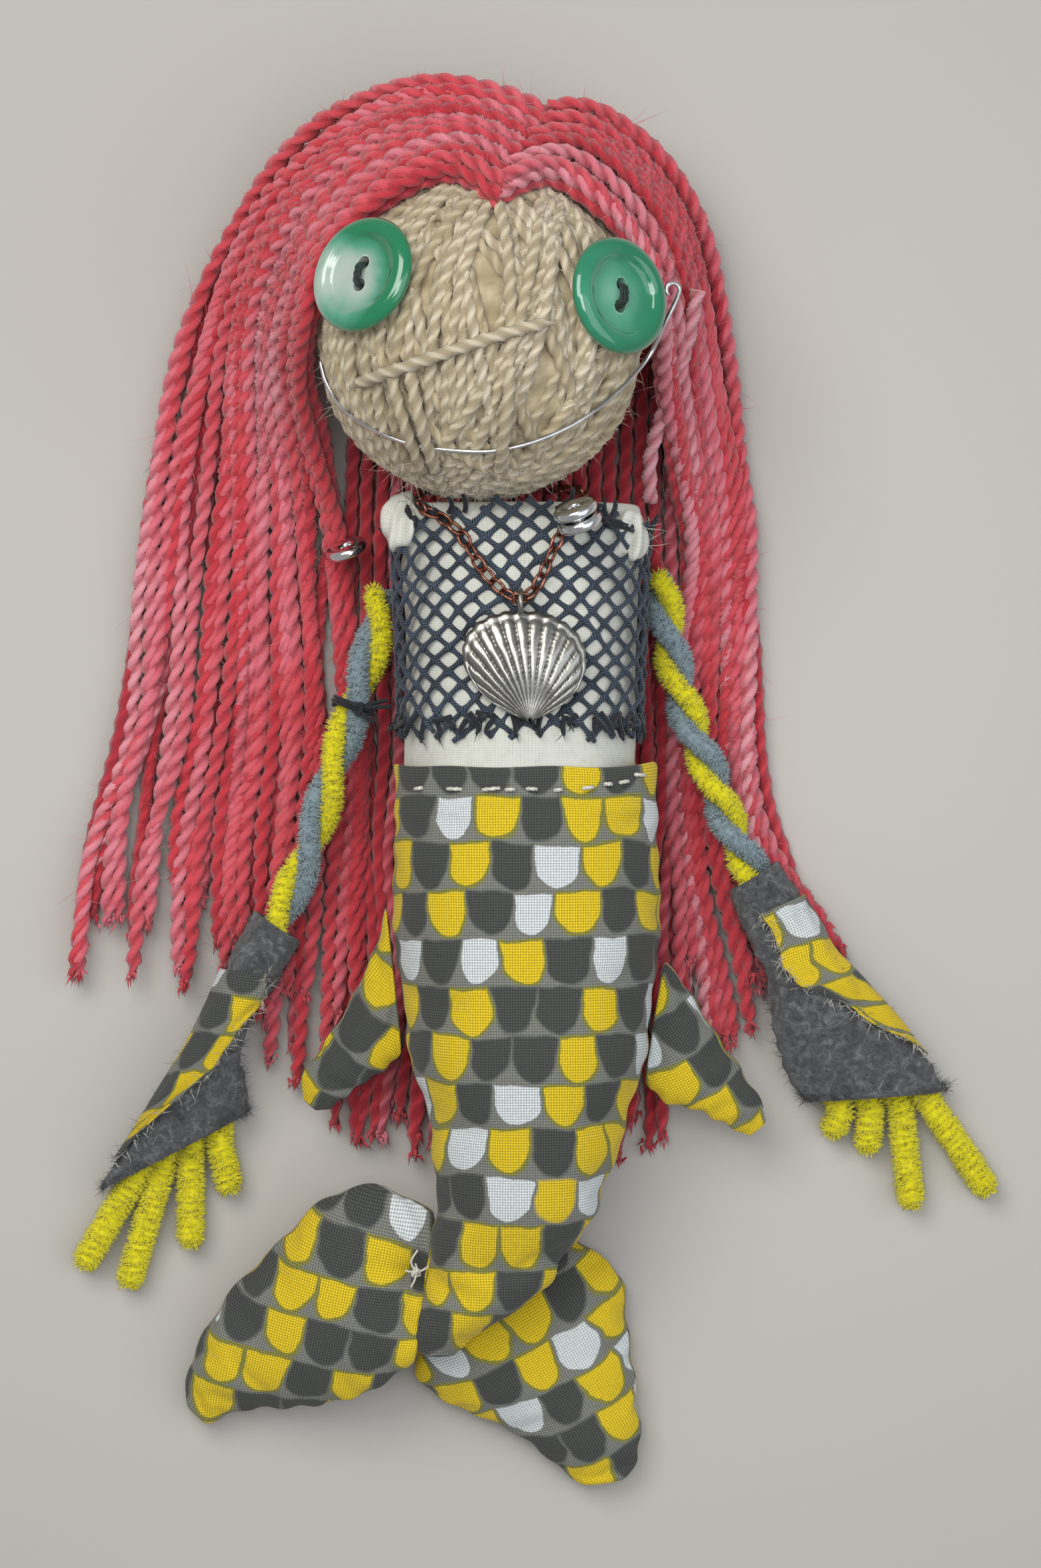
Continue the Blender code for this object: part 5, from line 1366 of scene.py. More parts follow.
@dataclass
class Necklace:
    """The copper chain, and its scallop pendant with a bail."""

    link_length: float = 3.9
    link_width: float = 2.8
    wire: float = 0.31
    shell_width: float = 22.8
    shell_length: float = 20.5
    shell_foot: float = WAIST_Y + 8.4
    ribs: int = 17
    lean: float = 1.8
    bail_radius: float = 2.2
    bail_wire: float = 0.5
    copper: PolishedMetal = PolishedMetal("aged_copper", "#AE7660", "#6C3F33", 0.32, 0.7)
    pewter: CastPewter = CastPewter()

    def bail_centre(self) -> Array:
        """Give the middle of the bail, which stands on the fan's edge."""
        height = chest_top(0.0, self.shell_foot) + SEAT_GAP + self.bail_radius + self.bail_wire
        return np.array([0.0, self.shell_foot + self.shell_length + 1.55, height])

    def route(self) -> Array:
        """Give the chain's line from one side of the bail, up the chest, round the neck and back down."""
        rise = SEAT_GAP + 1.25
        centre = self.bail_centre()
        half = CHEST_WIDTH / 2
        sides = []
        for run in (((-0.8, SHOULDER_Y - 0.8), (-0.66, SHOULDER_Y - 2.4), (-0.49, SHOULDER_Y - 5.4),
                     (-0.335, SHOULDER_Y - 11.2), (-0.18, centre[1] + 2.9)),
                    ((0.13, centre[1] + 3.1), (0.25, SHOULDER_Y - 9.4), (0.34, SHOULDER_Y - 5),
                     (0.48, SHOULDER_Y - 1.2))):
            x, y = np.array(run).T
            sides.append(xyz(x * half, y, chest_top(x * half, np.minimum(y, SHOULDER_Y)) + rise))
        behind = np.array([(0.5, 0.4, 6.0), (0.35, 1.4, -2.0), (0.0, 2.2, -6.0), (-0.35, 2.6, -7.0),
                           (-0.66, 1.6, -3.0), (-0.8, 0.5, 6.0)])
        behind = behind * (half, 1, 1) + (0.0, SHOULDER_Y + rise + 0.4, BODY_Z)
        return np.vstack([centre, sides[1], behind, sides[0], centre])

    def chain(self, dice: Dice) -> Surface:
        """Link the chain: ovals along the route, every other one turned a quarter round it.

        A link's line is a stadium: straight sides with half circles, cos and sin of the angle each bent
        towards the ends.
        """
        pitch = self.link_length - 4 * self.wire
        fine = curve_through(self.route(), 600)
        count = 2 * round(run_along(fine)[-1] / pitch / 2)
        knots = evenly(fine, 2 * count + 1)[1::2]
        knots = np.vstack([knots[-1:], knots])
        middle, ahead = (knots[1:] + knots[:-1]) / 2, unit(knots[1:] - knots[:-1])
        side = unit(np.cross([0.0, 0.0, 1.0], ahead))
        up = np.cross(ahead, side)
        tilt = (np.arange(count) % 2) * math.pi / 2 + math.pi / 4 + dice.normal(0, 0.16, count)
        flat = around(tilt, side, up)
        angle = circle(18)
        long, wide = self.link_length / 2 - self.wire, self.link_width / 2 - self.wire
        reach = np.clip(np.cos(angle) * 1.35, -1, 1) * (long - wide) + np.cos(angle) * wide
        paths = (middle[:, None] + reach[None, :, None] * ahead[:, None]
                 + (np.sin(angle) * wide)[None, :, None] * flat[:, None])
        return sweep(paths, np.cross(ahead, flat)[:, None], self.wire, 7, closed=True)

    def shell(self) -> Surface:
        """Cast the scallop as a fan: ribs |cos| across it, fine bars in their grooves, a smooth lip.

        Returns:
            The closed casting, with how bright each point is left after the patina was wiped.
        """
        rows, columns = 50, self.ribs * 8 + 1
        share = np.linspace(0.03, 1, rows)[:, None]
        spread = np.linspace(-1, 1, columns)[None]
        angle = math.radians(67) * spread
        scallop = 1 + 0.008 * np.cos(spread * math.pi * self.ribs) * (share > 0.9)
        reach = self.shell_length * (1 - np.abs(angle / math.radians(71)) ** 3.2) * scallop
        y = self.shell_foot + share * reach * np.cos(angle)
        x = share * reach * np.sin(angle)
        x = x / x.max() * self.shell_width / 2 + self.lean * (1 - (y - self.shell_foot) / self.shell_length)
        rib = np.abs(np.cos(spread * math.pi * self.ribs / 2)) ** 0.45
        fade = eased(share, ((0.0, 0.1), (0.25, 0.35), (0.5, 0.95), (0.88, 1.0), (0.96, 0.25), (1.0, 0.1)))
        bars = np.clip(np.sin(share * TAU * 22 + 0.5 * np.cos(spread * 5)), -0.2, 1.0) * (1 - rib) * fade
        bulge = np.maximum(3.0 * (1 - spread ** 2) * (1 - (share - 0.45) ** 2 / 0.36), 0.0)
        lip = 0.35 * np.exp(-((share - 0.965) / 0.022) ** 2)
        knob = 1.1 * np.exp(-(share / 0.16) ** 2)
        rest = chest_top(0.0, self.shell_foot) + SEAT_GAP
        relief = 0.5 * rib * fade + 0.36 * bars + lip + knob
        z = rest + 1.3 + bulge + relief + 0.06 * smooth_noise(xyz(x, y, 0.0), 2.0, 77)
        top = xyz(x, y, z)
        under = xyz(x * 0.985, y, rest + bulge)
        loop = np.concatenate([top, under[::-1]], axis=0)
        surface = grid_surface(loop, wrap_rows=True, wrap_columns=False)
        worn = 0.75 * np.clip(1 - share / 0.5, 0, 1)
        bright = np.clip(0.12 + 0.8 * (rib * fade + bars * 0.8 + (share > 0.94) * 0.6 + worn), 0, 1)
        surface.values["groove"] = np.concatenate([bright, np.full_like(bright, 0.3)], axis=0).ravel()
        for column, order in ((0, 1), (columns - 1, -1)):
            edge = np.arange(rows) * columns + column
            back = (2 * rows - 1 - np.arange(rows)) * columns + column
            quads = np.column_stack([edge[:-1], edge[1:], back[1:], back[:-1]])
            surface.quads = np.vstack([surface.quads, quads[:, ::order]])
        surface.uv = np.vstack([surface.uv, np.zeros((4 * 2 * (rows - 1), 2))])
        return surface

    def ring(self) -> Surface:
        """Bend the bail: a small upright ring on the fan's edge."""
        angle = circle(30)
        path = self.bail_centre() + self.bail_radius * xyz(0.0, np.cos(angle), np.sin(angle))
        return sweep(path[None], (1.0, 0.0, 0.0), self.bail_wire, 10, closed=True).mark(groove=0.75)

    def build(self) -> None:
        """Make the chain and the pendant."""
        dice = np.random.default_rng(67)
        new_piece("copper_chain", self.chain(dice), self.copper.material(), ["necklace_chain"])
        pendant = joined([self.shell(), self.ring()])
        new_piece("scallop_pendant", pendant, self.pewter.material(), ["shell_pendant"])


class Side(Enum):
    """The sides of the doll, by the sign of X."""

    LEFT = -1
    RIGHT = 1


@dataclass
class Eye:
    """One two-hole button with a dished face and a round rim, tied on with dark thread."""

    side: Side
    x: float
    y: float
    tilt: float
    stitch_turn: float
    resin: PearlResin
    radius: float = 10.8
    thickness: float = 3.4
    hole_radius: float = 1.25
    hole_spacing: float = 4.2

    def frame(self) -> tuple[Array, Array, Array, Array]:
        """Give the middle of the button's back, its across and up directions and its outward one."""
        lean = math.radians(self.tilt)
        aside = np.array([self.x, self.y]) / math.hypot(self.x, self.y) * math.sin(lean)
        outward = np.array([aside[0], aside[1], math.cos(lean)])
        height = (HEAD_RADIUS + SEAT_GAP - self.x * outward[0] - self.y * outward[1]) / outward[2]
        across = unit(np.cross([0.0, 1.0, 0.0], outward))
        return HEAD_CENTRE + np.array([self.x, self.y, height]), across, np.cross(outward, across), outward

    def disc(self) -> Surface:
        """Turn the button: a profile from the middle of the face over the rim to the middle of the back."""
        r, top = self.radius, self.thickness
        knots = [(0.05, top - 1.15), (3.0, top - 1.2), (5.6, top - 1.15), (6.7, top - 0.95),
                 (7.35, top - 0.3), (7.9, top + 0.05), (8.9, top + 0.1), (10.0, top - 0.3),
                 (r - 0.1, top - 1.1), (r, 1.7),
                 (r - 0.7, 0.6), (r - 2.4, 0.05), (r - 6.0, 0.0), (0.05, 0.0)]
        line = curve_through(knots, 46)
        angle = circle(80)
        base, across, up, outward = self.frame()
        radius, height = line[:, :1], line[:, 1:]
        points = base + radius[..., None] * around(angle, across, up) + height[..., None] * outward
        spread = np.repeat(np.clip(line[::-1, 0] / r, 0, 1), len(angle))
        # Painted highlight towards 200 degrees round the button, painted shade on the far side.
        glow = spread * np.tile(np.cos(angle - math.radians(200)), len(line))
        return grid_surface(points[::-1], capped=True).mark(
            spread=np.append(spread, [0.0, 0.0]), glow=np.append(glow, [0.0, 0.0]))

    def holes(self) -> list[Array]:
        """Give the middles of the two holes, in the plane of the button's back."""
        base, across, up, _ = self.frame()
        turn = math.radians(self.stitch_turn)
        way = across * math.sin(turn) + up * math.cos(turn)
        return [base + way * sign * self.hole_spacing / 2 for sign in (-1, 1)]

    def drill(self, thing: Thing) -> None:
        """Cut both holes with round cutters."""
        _, across, _, outward = self.frame()
        for spot in self.holes():
            line = np.stack([spot - outward * 4, spot + outward * 8])[None]
            tool = new_tool(sweep(line, across, self.hole_radius, 28))
            cut = thing.modifiers.new("hole", "BOOLEAN")
            cut.operation = "DIFFERENCE"
            cut.solver = "EXACT"
            cut.object = tool
            applied(thing)
            bpy.data.objects.remove(tool, do_unlink=True)
        thing.data.set_sharp_from_angle(angle=math.radians(50))

    def stitches(self) -> Surface:
        """Pass three threads down both holes, each arched over the bridge between them."""
        _, across, _, outward = self.frame()
        first, second = self.holes()
        floor = self.thickness - 1.2
        strands = []
        for number, aside in enumerate((-0.55, 0.0, 0.5)):
            shift = across * aside
            knots = [first + shift * 0.4 + outward * 0.3, first + shift * 0.7 + outward * (floor - 0.2),
                     first * 0.85 + second * 0.15 + shift + outward * (floor + 0.75 + 0.12 * number),
                     (first + second) / 2 + shift + outward * (floor + 0.95 + 0.1 * number),
                     first * 0.15 + second * 0.85 + shift + outward * (floor + 0.75),
                     second + shift * 0.7 + outward * (floor - 0.2), second + shift * 0.4 + outward * 0.3]
            strands.append(curve_through(knots, 44))
        return sweep(np.array(strands), across, 0.42, 8, np.arange(44)[None] * 0.5,
                     TWISTED)

    def build(self, thread: Material) -> None:
        """Make the button and its thread."""
        name = self.side.name.lower()
        resin = self.resin.material()
        self.drill(new_piece(f"button_{name}", self.disc(), resin, [f"eye_button_{name}"]))
        new_piece(f"button_thread_{name}", self.stitches(), thread, [f"eye_thread_{name}"])


def new_tool(surface: Surface) -> Thing:
    """Make a cutter of a surface, which is removed after its cut."""
    mesh = bpy.data.meshes.new("cutter")
    mesh.from_pydata((surface.points * MM).tolist(), [], surface.quads.tolist() + surface.tris.tolist())
    tool = bpy.data.objects.new("cutter", mesh)
    bpy.context.scene.collection.objects.link(tool)
    return tool


@dataclass
class Smile:
    """The bent silver wire of the mouth, with a curl at its free end."""

    radius: float = 0.42
    curl_radius: float = 1.25
    stations: int = 190
    silver: PolishedMetal = PolishedMetal("silver_plated_wire", "#E8E9EA", "#C9CBCE", 0.12, 2.5)

    def build(self) -> Material:
        """Bend the wire and give its finish."""
        lift = self.radius + SEAT_GAP
        route = np.array([(-0.98, -0.18), (-0.93, -0.34), (-0.82, -0.5), (-0.62, -0.64), (-0.4, -0.725),
                          (-0.15, -0.765), (0.1, -0.765), (0.36, -0.7), (0.62, -0.57), (0.85, -0.38)])
        points = on_head(*(route * HEAD_RADIUS).T, lift)
        free = np.array([(1.03, -0.17, 0.29), (1.13, 0.03, 0.36), (1.195, 0.16, 0.39), (1.22, 0.23, 0.41)])
        points = np.vstack([points, HEAD_CENTRE + free * HEAD_RADIUS])
        turn = np.radians(np.linspace(0, 235, 14))[1:]
        curl = (points[-1] - (self.curl_radius, 0, 0)
                + self.curl_radius * xyz(np.cos(turn), np.sin(turn), 0.12 * turn))
        path = evenly(np.vstack([curve_through(points, 150), curl]), self.stations)
        number = np.arange(self.stations)
        ends = np.clip(np.minimum(number, number[::-1]) / 1.5, 0.45, 1.0)
        material = self.silver.material()
        wire = sweep(path[None], (0, 0, 1.0), self.radius * ends[None], 10)
        new_piece("smile_wire", wire, material, ["mouth_wire"])
        return material


@dataclass
class EarDrops:
    """Polished round beads: one at the left shoulder, a pair at the right one."""

    radius: float = 4.2
    thickness: float = 2.2
    hole: float = 1.2
    lean: float = 20.0

    def axis(self) -> Array:
        """Give the direction of a bead's hole."""
        turn = math.radians(self.lean)
        return unit(np.array([-math.sin(turn), math.cos(turn) * 0.94, 0.34]))

    def bead(self, centre: Array) -> Surface:
        """Turn a bead: a flat oval profile round its hole."""
        angle = circle(28)
        c, s = oblong(angle, 2.6)
        middle, half = (self.radius + self.hole) / 2, (self.radius - self.hole) / 2
        way = self.axis()
        across = unit(np.cross([0.0, 0.0, 1.0], way))
        up = np.cross(way, across)
        reach, rise = (middle + half * c)[..., None], (self.thickness / 2 * s)[..., None]
        points = centre + reach * around(circle(60)[:, None], across, up) + rise * way
        return grid_surface(points[::-1], wrap_rows=True)

    def build(self, silver: Material) -> None:
        """Make the three beads where their solids are."""
        for name in ("left", "right_1", "right_2"):
            low, high = (np.array(corner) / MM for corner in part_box(f"ear_drop_{name}"))
            bead = self.bead((low + high) / 2)
            new_piece(f"bead_{name}", bead, silver, [f"ear_drop_{name}"])


@dataclass
class Chenille:
    """A pipe cleaner: a core whose pile makes a fine spiral ridge, and tufts that stand out all round."""

    core: float = 1.7
    pile: float = 1.15
    ridge_pitch: float = 1.5
    density: float = 58.0
    tuft_width: float = 0.2

    def stem(self, path: Array, dice: Dice) -> Surface:
        """Grow one stem along a path: core radius r (1 + 0.13 cos(turn)), with the ridge's turn from the run.

        Args:
            path: The stem's middle line.
            dice: The random numbers.

        Returns:
            The stem with its pile, and how far each point is from the wire.
        """
        length = run_along(path)[-1]
        stations, sides = max(int(length / 0.4), 12), 10
        line = evenly(path, stations)
        run = np.linspace(0, length, stations)
        angle = circle(sides)
        ridge = 1 + 0.06 * np.cos(run[:, None] / self.ridge_pitch * TAU - angle[None])
        ridge = ridge + 0.1 * dice.normal(0, 1, ridge.shape)
        ends = np.sqrt(np.clip(np.minimum(run, length - run) / (self.core * 0.8), 0.02, 1.0))
        core = sweep(line[None], (0.2, 0.3, 1.0), self.core * ends[None], sides, 0.0, ridge[None])
        # Painted shade: the core is given a low depth, lower still between the ridges.
        core.mark(depth=np.append(0.36 + (ridge - 1) * 0.8, [0.3, 0.3]))
        amount = int(length * self.density)
        place = dice.integers(1, stations - 1, amount)
        ahead = unit(line[place + 1] - line[place - 1])
        loose = dice.normal(size=(amount, 3))
        away = square_to(loose, ahead)
        side = unit(np.cross(ahead, (0.2, 0.3, 1.0)))
        turn = np.arctan2((away * np.cross(ahead, side)).sum(axis=1), (away * side).sum(axis=1))
        parting = (turn / TAU - run[place] / self.ridge_pitch + 0.5) % 1.0 - 0.5
        slip = -parting * self.ridge_pitch * 0.35 + dice.uniform(-0.3, 0.3, amount)
        roots = line[place] + away * (self.core * ends[place] * 0.85)[:, None] + ahead * slip[:, None]
        near_end = np.clip(1 - np.minimum(run, length - run)[place] / 1.5, 0, 1)
        outward_end = np.where(place < stations / 2, -1.0, 1.0) * near_end
        ways = away + ahead * (dice.normal(0, 0.22, amount) + outward_end)[:, None]
        spikes = fibres(roots, ways, self.pile * dice.uniform(0.65, 1.2, amount), self.tuft_width)
        # Painted shade at the tufts' roots, paler towards their tips.
        return joined([core, spikes.mark(depth=np.tile([0.45, 0.45, 0.45, 1.0], amount))])


@dataclass
class Sleeve:
    """One felt cuff, open at both ends, with its fingers and the print cloth sewn over it."""

    side: Side
    outer: tuple[tuple[float, float], ...]
    inner: tuple[tuple[float, float], ...]
    fingers: tuple[tuple[float, tuple[float, float]], ...]
    print_span: tuple[float, float, float]
    print_edge: tuple[tuple[float, float], ...]
    half_depth: float = 5.05
    wall: float = 1.1
    power: float = 2.3
    finger_radius: float = 2.1
    felt_hairs: int = 1500
    loose_threads: int = 150

    def edges(self, s: Array) -> tuple[Array, Array]:
        """Give the outer and inner edge in plan at s from wrist to mouth."""
        count = 60
        index = np.linspace(0, 1, count)
        outer, inner = (read_at(s, index, curve_through(edge, count)) for edge in (self.outer, self.inner))
        return outer, inner

    def height(self, s: Array | float) -> Array:
        """Give the height of the cuff's middle at s."""
        return eased(s, ((0.0, 11.6), (0.45, 11.2), (1.0, 5.4)))

    def middle(self, s: float) -> Array:
        """Give the middle of the cuff at s."""
        outer, inner = self.edges(np.array([s]))
        return np.array([*((outer + inner) / 2)[0], float(self.height(s))])

    def ring(self, s: Array, angle: Array, grow: Array | float) -> Array:
        """Place points on the cuff's cross-section at s, grown outwards by grow."""
        outer, inner = self.edges(s)
        middle, half = (outer + inner) / 2, (inner - outer) / 2
        size = norm(half, axis=-1)
        rounded = 1 - 0.09 * np.clip((s - 0.88) / 0.12, 0, 1) ** 2 - 0.05 * np.clip(1 - s / 0.1, 0, 1) ** 2
        half = half * ((size * rounded + grow) / size)[..., None]
        c, d = oblong(angle, self.power)
        flat = middle + half * c[..., None]
        return xyz(flat[..., 0], flat[..., 1], self.height(s) + (self.half_depth + grow) * d)

    def cuff(self, seed: int) -> Surface:
        """Make the felt: an outer and an inner wall, joined at wrist and mouth, with lumps of matted wool."""
        s, angle = np.meshgrid(np.linspace(0, 1, 44), circle(56), indexing="ij")
        mouth = 0.35 * np.sin(angle * 3 + seed) * eased(s, ((0.0, 0.3), (0.7, 0.0), (1.0, 1.0)))
        outside = self.ring(s, angle, mouth)
        inside = self.ring(s, angle, mouth - self.wall)
        lumps = 0.28 * smooth_noise(outside, 2.6, seed) + 0.3 * smooth_noise(outside, 7.0, seed + 1)
        outside = outside + unit(outside - inside) * lumps[..., None]
        inside = inside + unit(outside - inside) * (0.12 * smooth_noise(inside, 3.0, seed + 2))[..., None]
        return grid_surface(np.concatenate([outside, inside[::-1]]), wrap_rows=True).faced_out()

    def cuff_fibres(self, dice: Dice) -> Surface:
        """Raise short matted fibres from the felt, more at its cut mouth."""
        amount = self.felt_hairs
        at_mouth = dice.uniform(size=amount) < 0.3
        s = np.where(at_mouth, dice.uniform(0.96, 1.0, amount), dice.uniform(0, 1, amount))
        angle = dice.uniform(0, TAU, amount)
        roots, beyond = self.ring(s, angle, 0.0), self.ring(s, angle, 1.0)
        ways = unit(beyond - roots) + dice.normal(0, 0.7, (amount, 3))
        return fibres(roots, ways, dice.uniform(0.6, 2.6, amount), 0.06,
                      dice.normal(0, 0.7, (amount, 3))).above(0.1)

    def flap(self, seed: int) -> tuple[Surface, Array]:
        """Lay the print cloth over the cuff, raised a little along its frayed edge.

        Returns:
            The cloth's outer face, and the points along its frayed edge.
        """
        start, stop, high = self.print_span
        t = np.linspace(0, 1, 52)[:, None]
        u = np.linspace(0, 1, 34)[None]
        ragged = 2.0 * smooth_noise(xyz(t * 60, 0.0, float(seed)), 5.0, seed)
        first = np.radians(eased(t, self.print_edge) + ragged)
        angle = first + (np.radians(high) - first) * u
        s = start + (stop - start) * t + 0 * u
        curl = 0.9 * np.exp(-(u / 0.1) ** 2) * (0.6 + 0.4 * np.sin(t * 14 + seed))
        grow = SAFE_GAP + 0.35 + curl + 0.3 * smooth_noise(xyz(s * 50, angle * 12, 0.0), 6.0, seed)
        points = self.ring(s, angle, grow)
        uv = xyz(run_along(points), -run_along(points.swapaxes(0, 1)).T)
        uv = np.pad(uv, ((0, 1), (0, 1), (0, 0)), mode="edge") + seed * 3.7
        return grid_surface(points, wrap_columns=False, uv=uv), points[:, 0]

    def finger_paths(self) -> list[Array]:
        """Give each finger's line, from where it lies in the mouth to its tip near the ground."""
        lines = []
        for share, tip in self.fingers:
            outer, inner = self.edges(np.array([0.8, 0.95, 1.0]))
            rows = outer * (1 - share) + inner * share
            aside = np.clip(abs(share - 0.5) * 2 + 0.15, 0, 0.95)
            wall = (self.half_depth - self.wall) * (1 - aside ** self.power) ** (1 / self.power)
            height = float(self.height(0.95)) - wall + self.finger_radius + SAFE_GAP
            root = np.array([*rows[1], height])
            leave = root + np.array([*unit(rows[2] - rows[0]), 0.0]) * 4.5
            end = np.array([*tip, self.finger_radius + 1.2])
            start = root - (leave - root) * 0.8
            lines.append(curve_through([start, root, leave, (leave + end) / 2, end], 60))
        return lines

    def build(self, felt: Material, linen: Material, cotton: Material,
              pile: Material, chenille: Chenille, seed: int) -> None:
        """Make the cuff, its print cloth, the frayed threads and the fingers."""
        dice = np.random.default_rng(seed)
        name = self.side.name.lower()
        cuff = new_piece(f"felt_cuff_{name}", self.cuff(seed), felt, [f"sleeve_{name}"])
        new_piece(f"felt_fibres_{name}", self.cuff_fibres(dice), felt, smooth=False)
        surface, edge = self.flap(seed)
        flap = new_piece(f"print_flap_{name}", surface, linen, [f"sleeve_print_{name}"])
        face_out(flap)
        wall = flap.modifiers.new("cloth", "SOLIDIFY")
        wall.thickness = 0.35 * MM
        wall.offset = 1.0
        applied(flap)
        size = flat_size(surface)
        amount = self.loose_threads
        spots = edge[dice.integers(0, len(edge), amount)] + dice.normal(0, 0.25, (amount, 3))
        ways = dice.normal(0, 1.0, (amount, 3)) + np.array([0, -0.6, 0.2])
        threads = fibres(spots, ways, dice.uniform(0.8, 3.4, amount), 0.08, dice.normal(0, 0.8, (amount, 3)))
        new_piece(f"flap_frayed_threads_{name}", threads, cotton, smooth=False)
        for number, line in enumerate(self.finger_paths(), start=1):
            finger = f"finger_{name}_{number}"
            new_piece(f"chenille_{finger}", chenille.stem(line, dice), pile, [finger])


def flat_size(surface: Surface) -> tuple[float, float, float]:
    """Give a cloth's cut size in metres: width, length and area, the two sides from its own map."""
    a, b, c, d = (surface.points[surface.quads[:, k]] for k in range(4))
    area = (norm(np.cross(c - a, d - b), axis=1) / 2).sum() * MM ** 2
    spread = np.ptp(surface.uv, axis=0) * MM
    width, length = float(spread[0]), float(spread[1])
    return width, length, float(min(area, width * length))


def face_out(thing: Thing) -> None:
    """Turn a sheet's faces so that most of them look up."""
    mesh = thing.data
    if sum(face.normal.z * face.area for face in mesh.polygons) < 0:
        mesh.flip_normals()


@dataclass
class Arms:
    """Both arms, each twisted from a yellow and a grey pipe cleaner, with their cuffs and hands."""

    offset: float = 1.75
    arm_radius: float = 3.45
    stations: int = 260
    pitches: tuple[float, float] = (31.0, 20.5)
    phases: tuple[float, float] = (0.6, 0.9)
    chenille: Chenille = field(default_factory=Chenille)
    fingers: Chenille = field(default_factory=lambda: Chenille(core=2.2, pile=1.35, density=80.0))
    # The first colour of each pile is its painted shade near the wire.
    yellow: ChenillePile = ChenillePile("yellow_chenille_pile", "#BDB513", "#E0D820", "#F0EA4E")
    grey: ChenillePile = ChenillePile("grey_chenille_pile", "#6B7C83", "#8598A0", "#A9BAC1")

    def sleeves(self) -> tuple[Sleeve, Sleeve]:
        """Give both cuffs on the places of their solids."""
        left = Sleeve(Side.LEFT,
                      ((-50.8, -23.8), (-55.4, -33.4), (-59.6, -43.5), (-67.5, -57), (-81.3, -78.2)),
                      ((-42.0, -29.8), (-46.4, -37.8), (-50.9, -44.0), (-53.2, -52), (-51.2, -62.5)),
                      ((0.265, (-84, -92.5)), (0.45, (-75.3, -96.4)), (0.62, (-63.2, -88.6)),
                       (0.79, (-55.5, -78.3))),
                      (0.2, 0.88, 176), ((0.0, 62), (0.3, 40), (0.62, 70), (1.0, 158)))
        right = Sleeve(Side.RIGHT,
                       ((49.2, -14.4), (52.8, -21.2), (59, -31.5), (70, -43.5), (82.6, -58.6)),
                       ((39.6, -20.4), (42.2, -27.5), (46.6, -37), (48.6, -49), (53.6, -60.8)),
                       ((0.77, (59.4, -67.4)), (0.58, (66.4, -70.6)), (0.39, (75.0, -81.2)),
                        (0.2, (89.8, -78.4))),
                       (0.14, 0.84, 176), ((0.0, 78), (0.4, 74), (0.7, 112), (1.0, 160)))
        return left, right

    def twisted(self, route: Array, pitch: float, turn: float) -> Array:
        """Wind a line round a route: route + offset (cos side + sin up), once for each pitch."""
        centre = curve_through(route, self.stations)
        ahead = unit(np.gradient(centre, axis=0))
        side = unit(np.cross(ahead, (0.0, 0.0, 1.0)))
        angle = run_along(centre) / pitch * TAU + turn
        return centre + self.offset * around(angle, side, np.cross(side, ahead))

    def build(self, felt: Material, linen: Material, cotton: Material,
              net: Material) -> None:
        """Make the arms, the cuffs with their hands, and the thread tied round the left arm."""
        dice = np.random.default_rng(83)
        yellow, grey = self.yellow.material(), self.grey.material()
        left, right = self.sleeves()
        side_x = CHEST_WIDTH / 2 + self.arm_radius
        left_route = [(-side_x + 0.2, 37, 13.6), (-side_x - 0.6, 29, 14.5), (-29.6, 21, 15.5),
                      (-32, 13, 15.8), (-36.6, -1, 14.2), (-40.6, -14, 12.8),
                      left.middle(0.0), left.middle(0.08)]
        right_route = [(side_x - 0.2, 40, 13.6), (side_x + 0.8, 31, 14.5), (29.6, 20, 15.5), (32.2, 11, 15.8),
                       (36.3, 1, 14.6), (40.4, -9.5, 13), right.middle(0.0), right.middle(0.08)]
        routes = (left_route, right_route)
        for name, route, pitch, phase in zip(("left", "right"), routes, self.pitches, self.phases):
            for colour, pile, turn in (("yellow", yellow, 0.0), ("grey", grey, math.pi)):
                line = self.twisted(np.array(route), pitch, turn + phase)
                arm = f"{name}_{colour}"
                stem = self.chenille.stem(line, dice)
                new_piece(f"chenille_{arm}", stem, pile, [f"arm_{arm}"])
        left.build(felt, linen, cotton, yellow, self.fingers, 91)
        right.build(felt, linen, cotton, yellow, self.fingers, 97)
        new_piece("net_tie", self.tie(np.array(left_route), dice), net, smooth=False)

    def tie(self, route: Array, dice: Dice) -> Surface:
        """Wind a net thread twice round the left arm, with a knot and loose ends towards the net."""
        line = curve_through(route, self.stations)
        centre, ahead = line[84], unit(line[90] - line[84])
        side = unit(np.cross(ahead, [0.0, 0.0, 1.0]))
        up = np.cross(side, ahead)
        turn = np.linspace(0, 2 * TAU, 90)[:, None]
        reach = 3.9 + 0.25 * np.sin(turn * 3.3)
        coil = centre + reach * (np.cos(turn) * side + np.sin(turn) * up) + ahead * (turn / TAU - 1) * 0.8
        knot = centre + up * 4.2 - side * 1.0
        lines = [coil]
        for goal in ((5.5, 1.6, 0.4), (6.3, 0.4, 1.0), (-3.6, 1.4, 1.2), (3.0, -2.6, 0.9)):
            halfway = knot + np.array(goal) * (0.5, 0.6, 1.3)
            lines.append(curve_through([knot, halfway, knot + np.array(goal)], 90))
        lines.append(curve_through(knot + dice.normal(0, 0.9, (9, 3)), 90))
        return sweep(np.array(lines), (0.1, 0.2, 1.0), 0.42, 6)


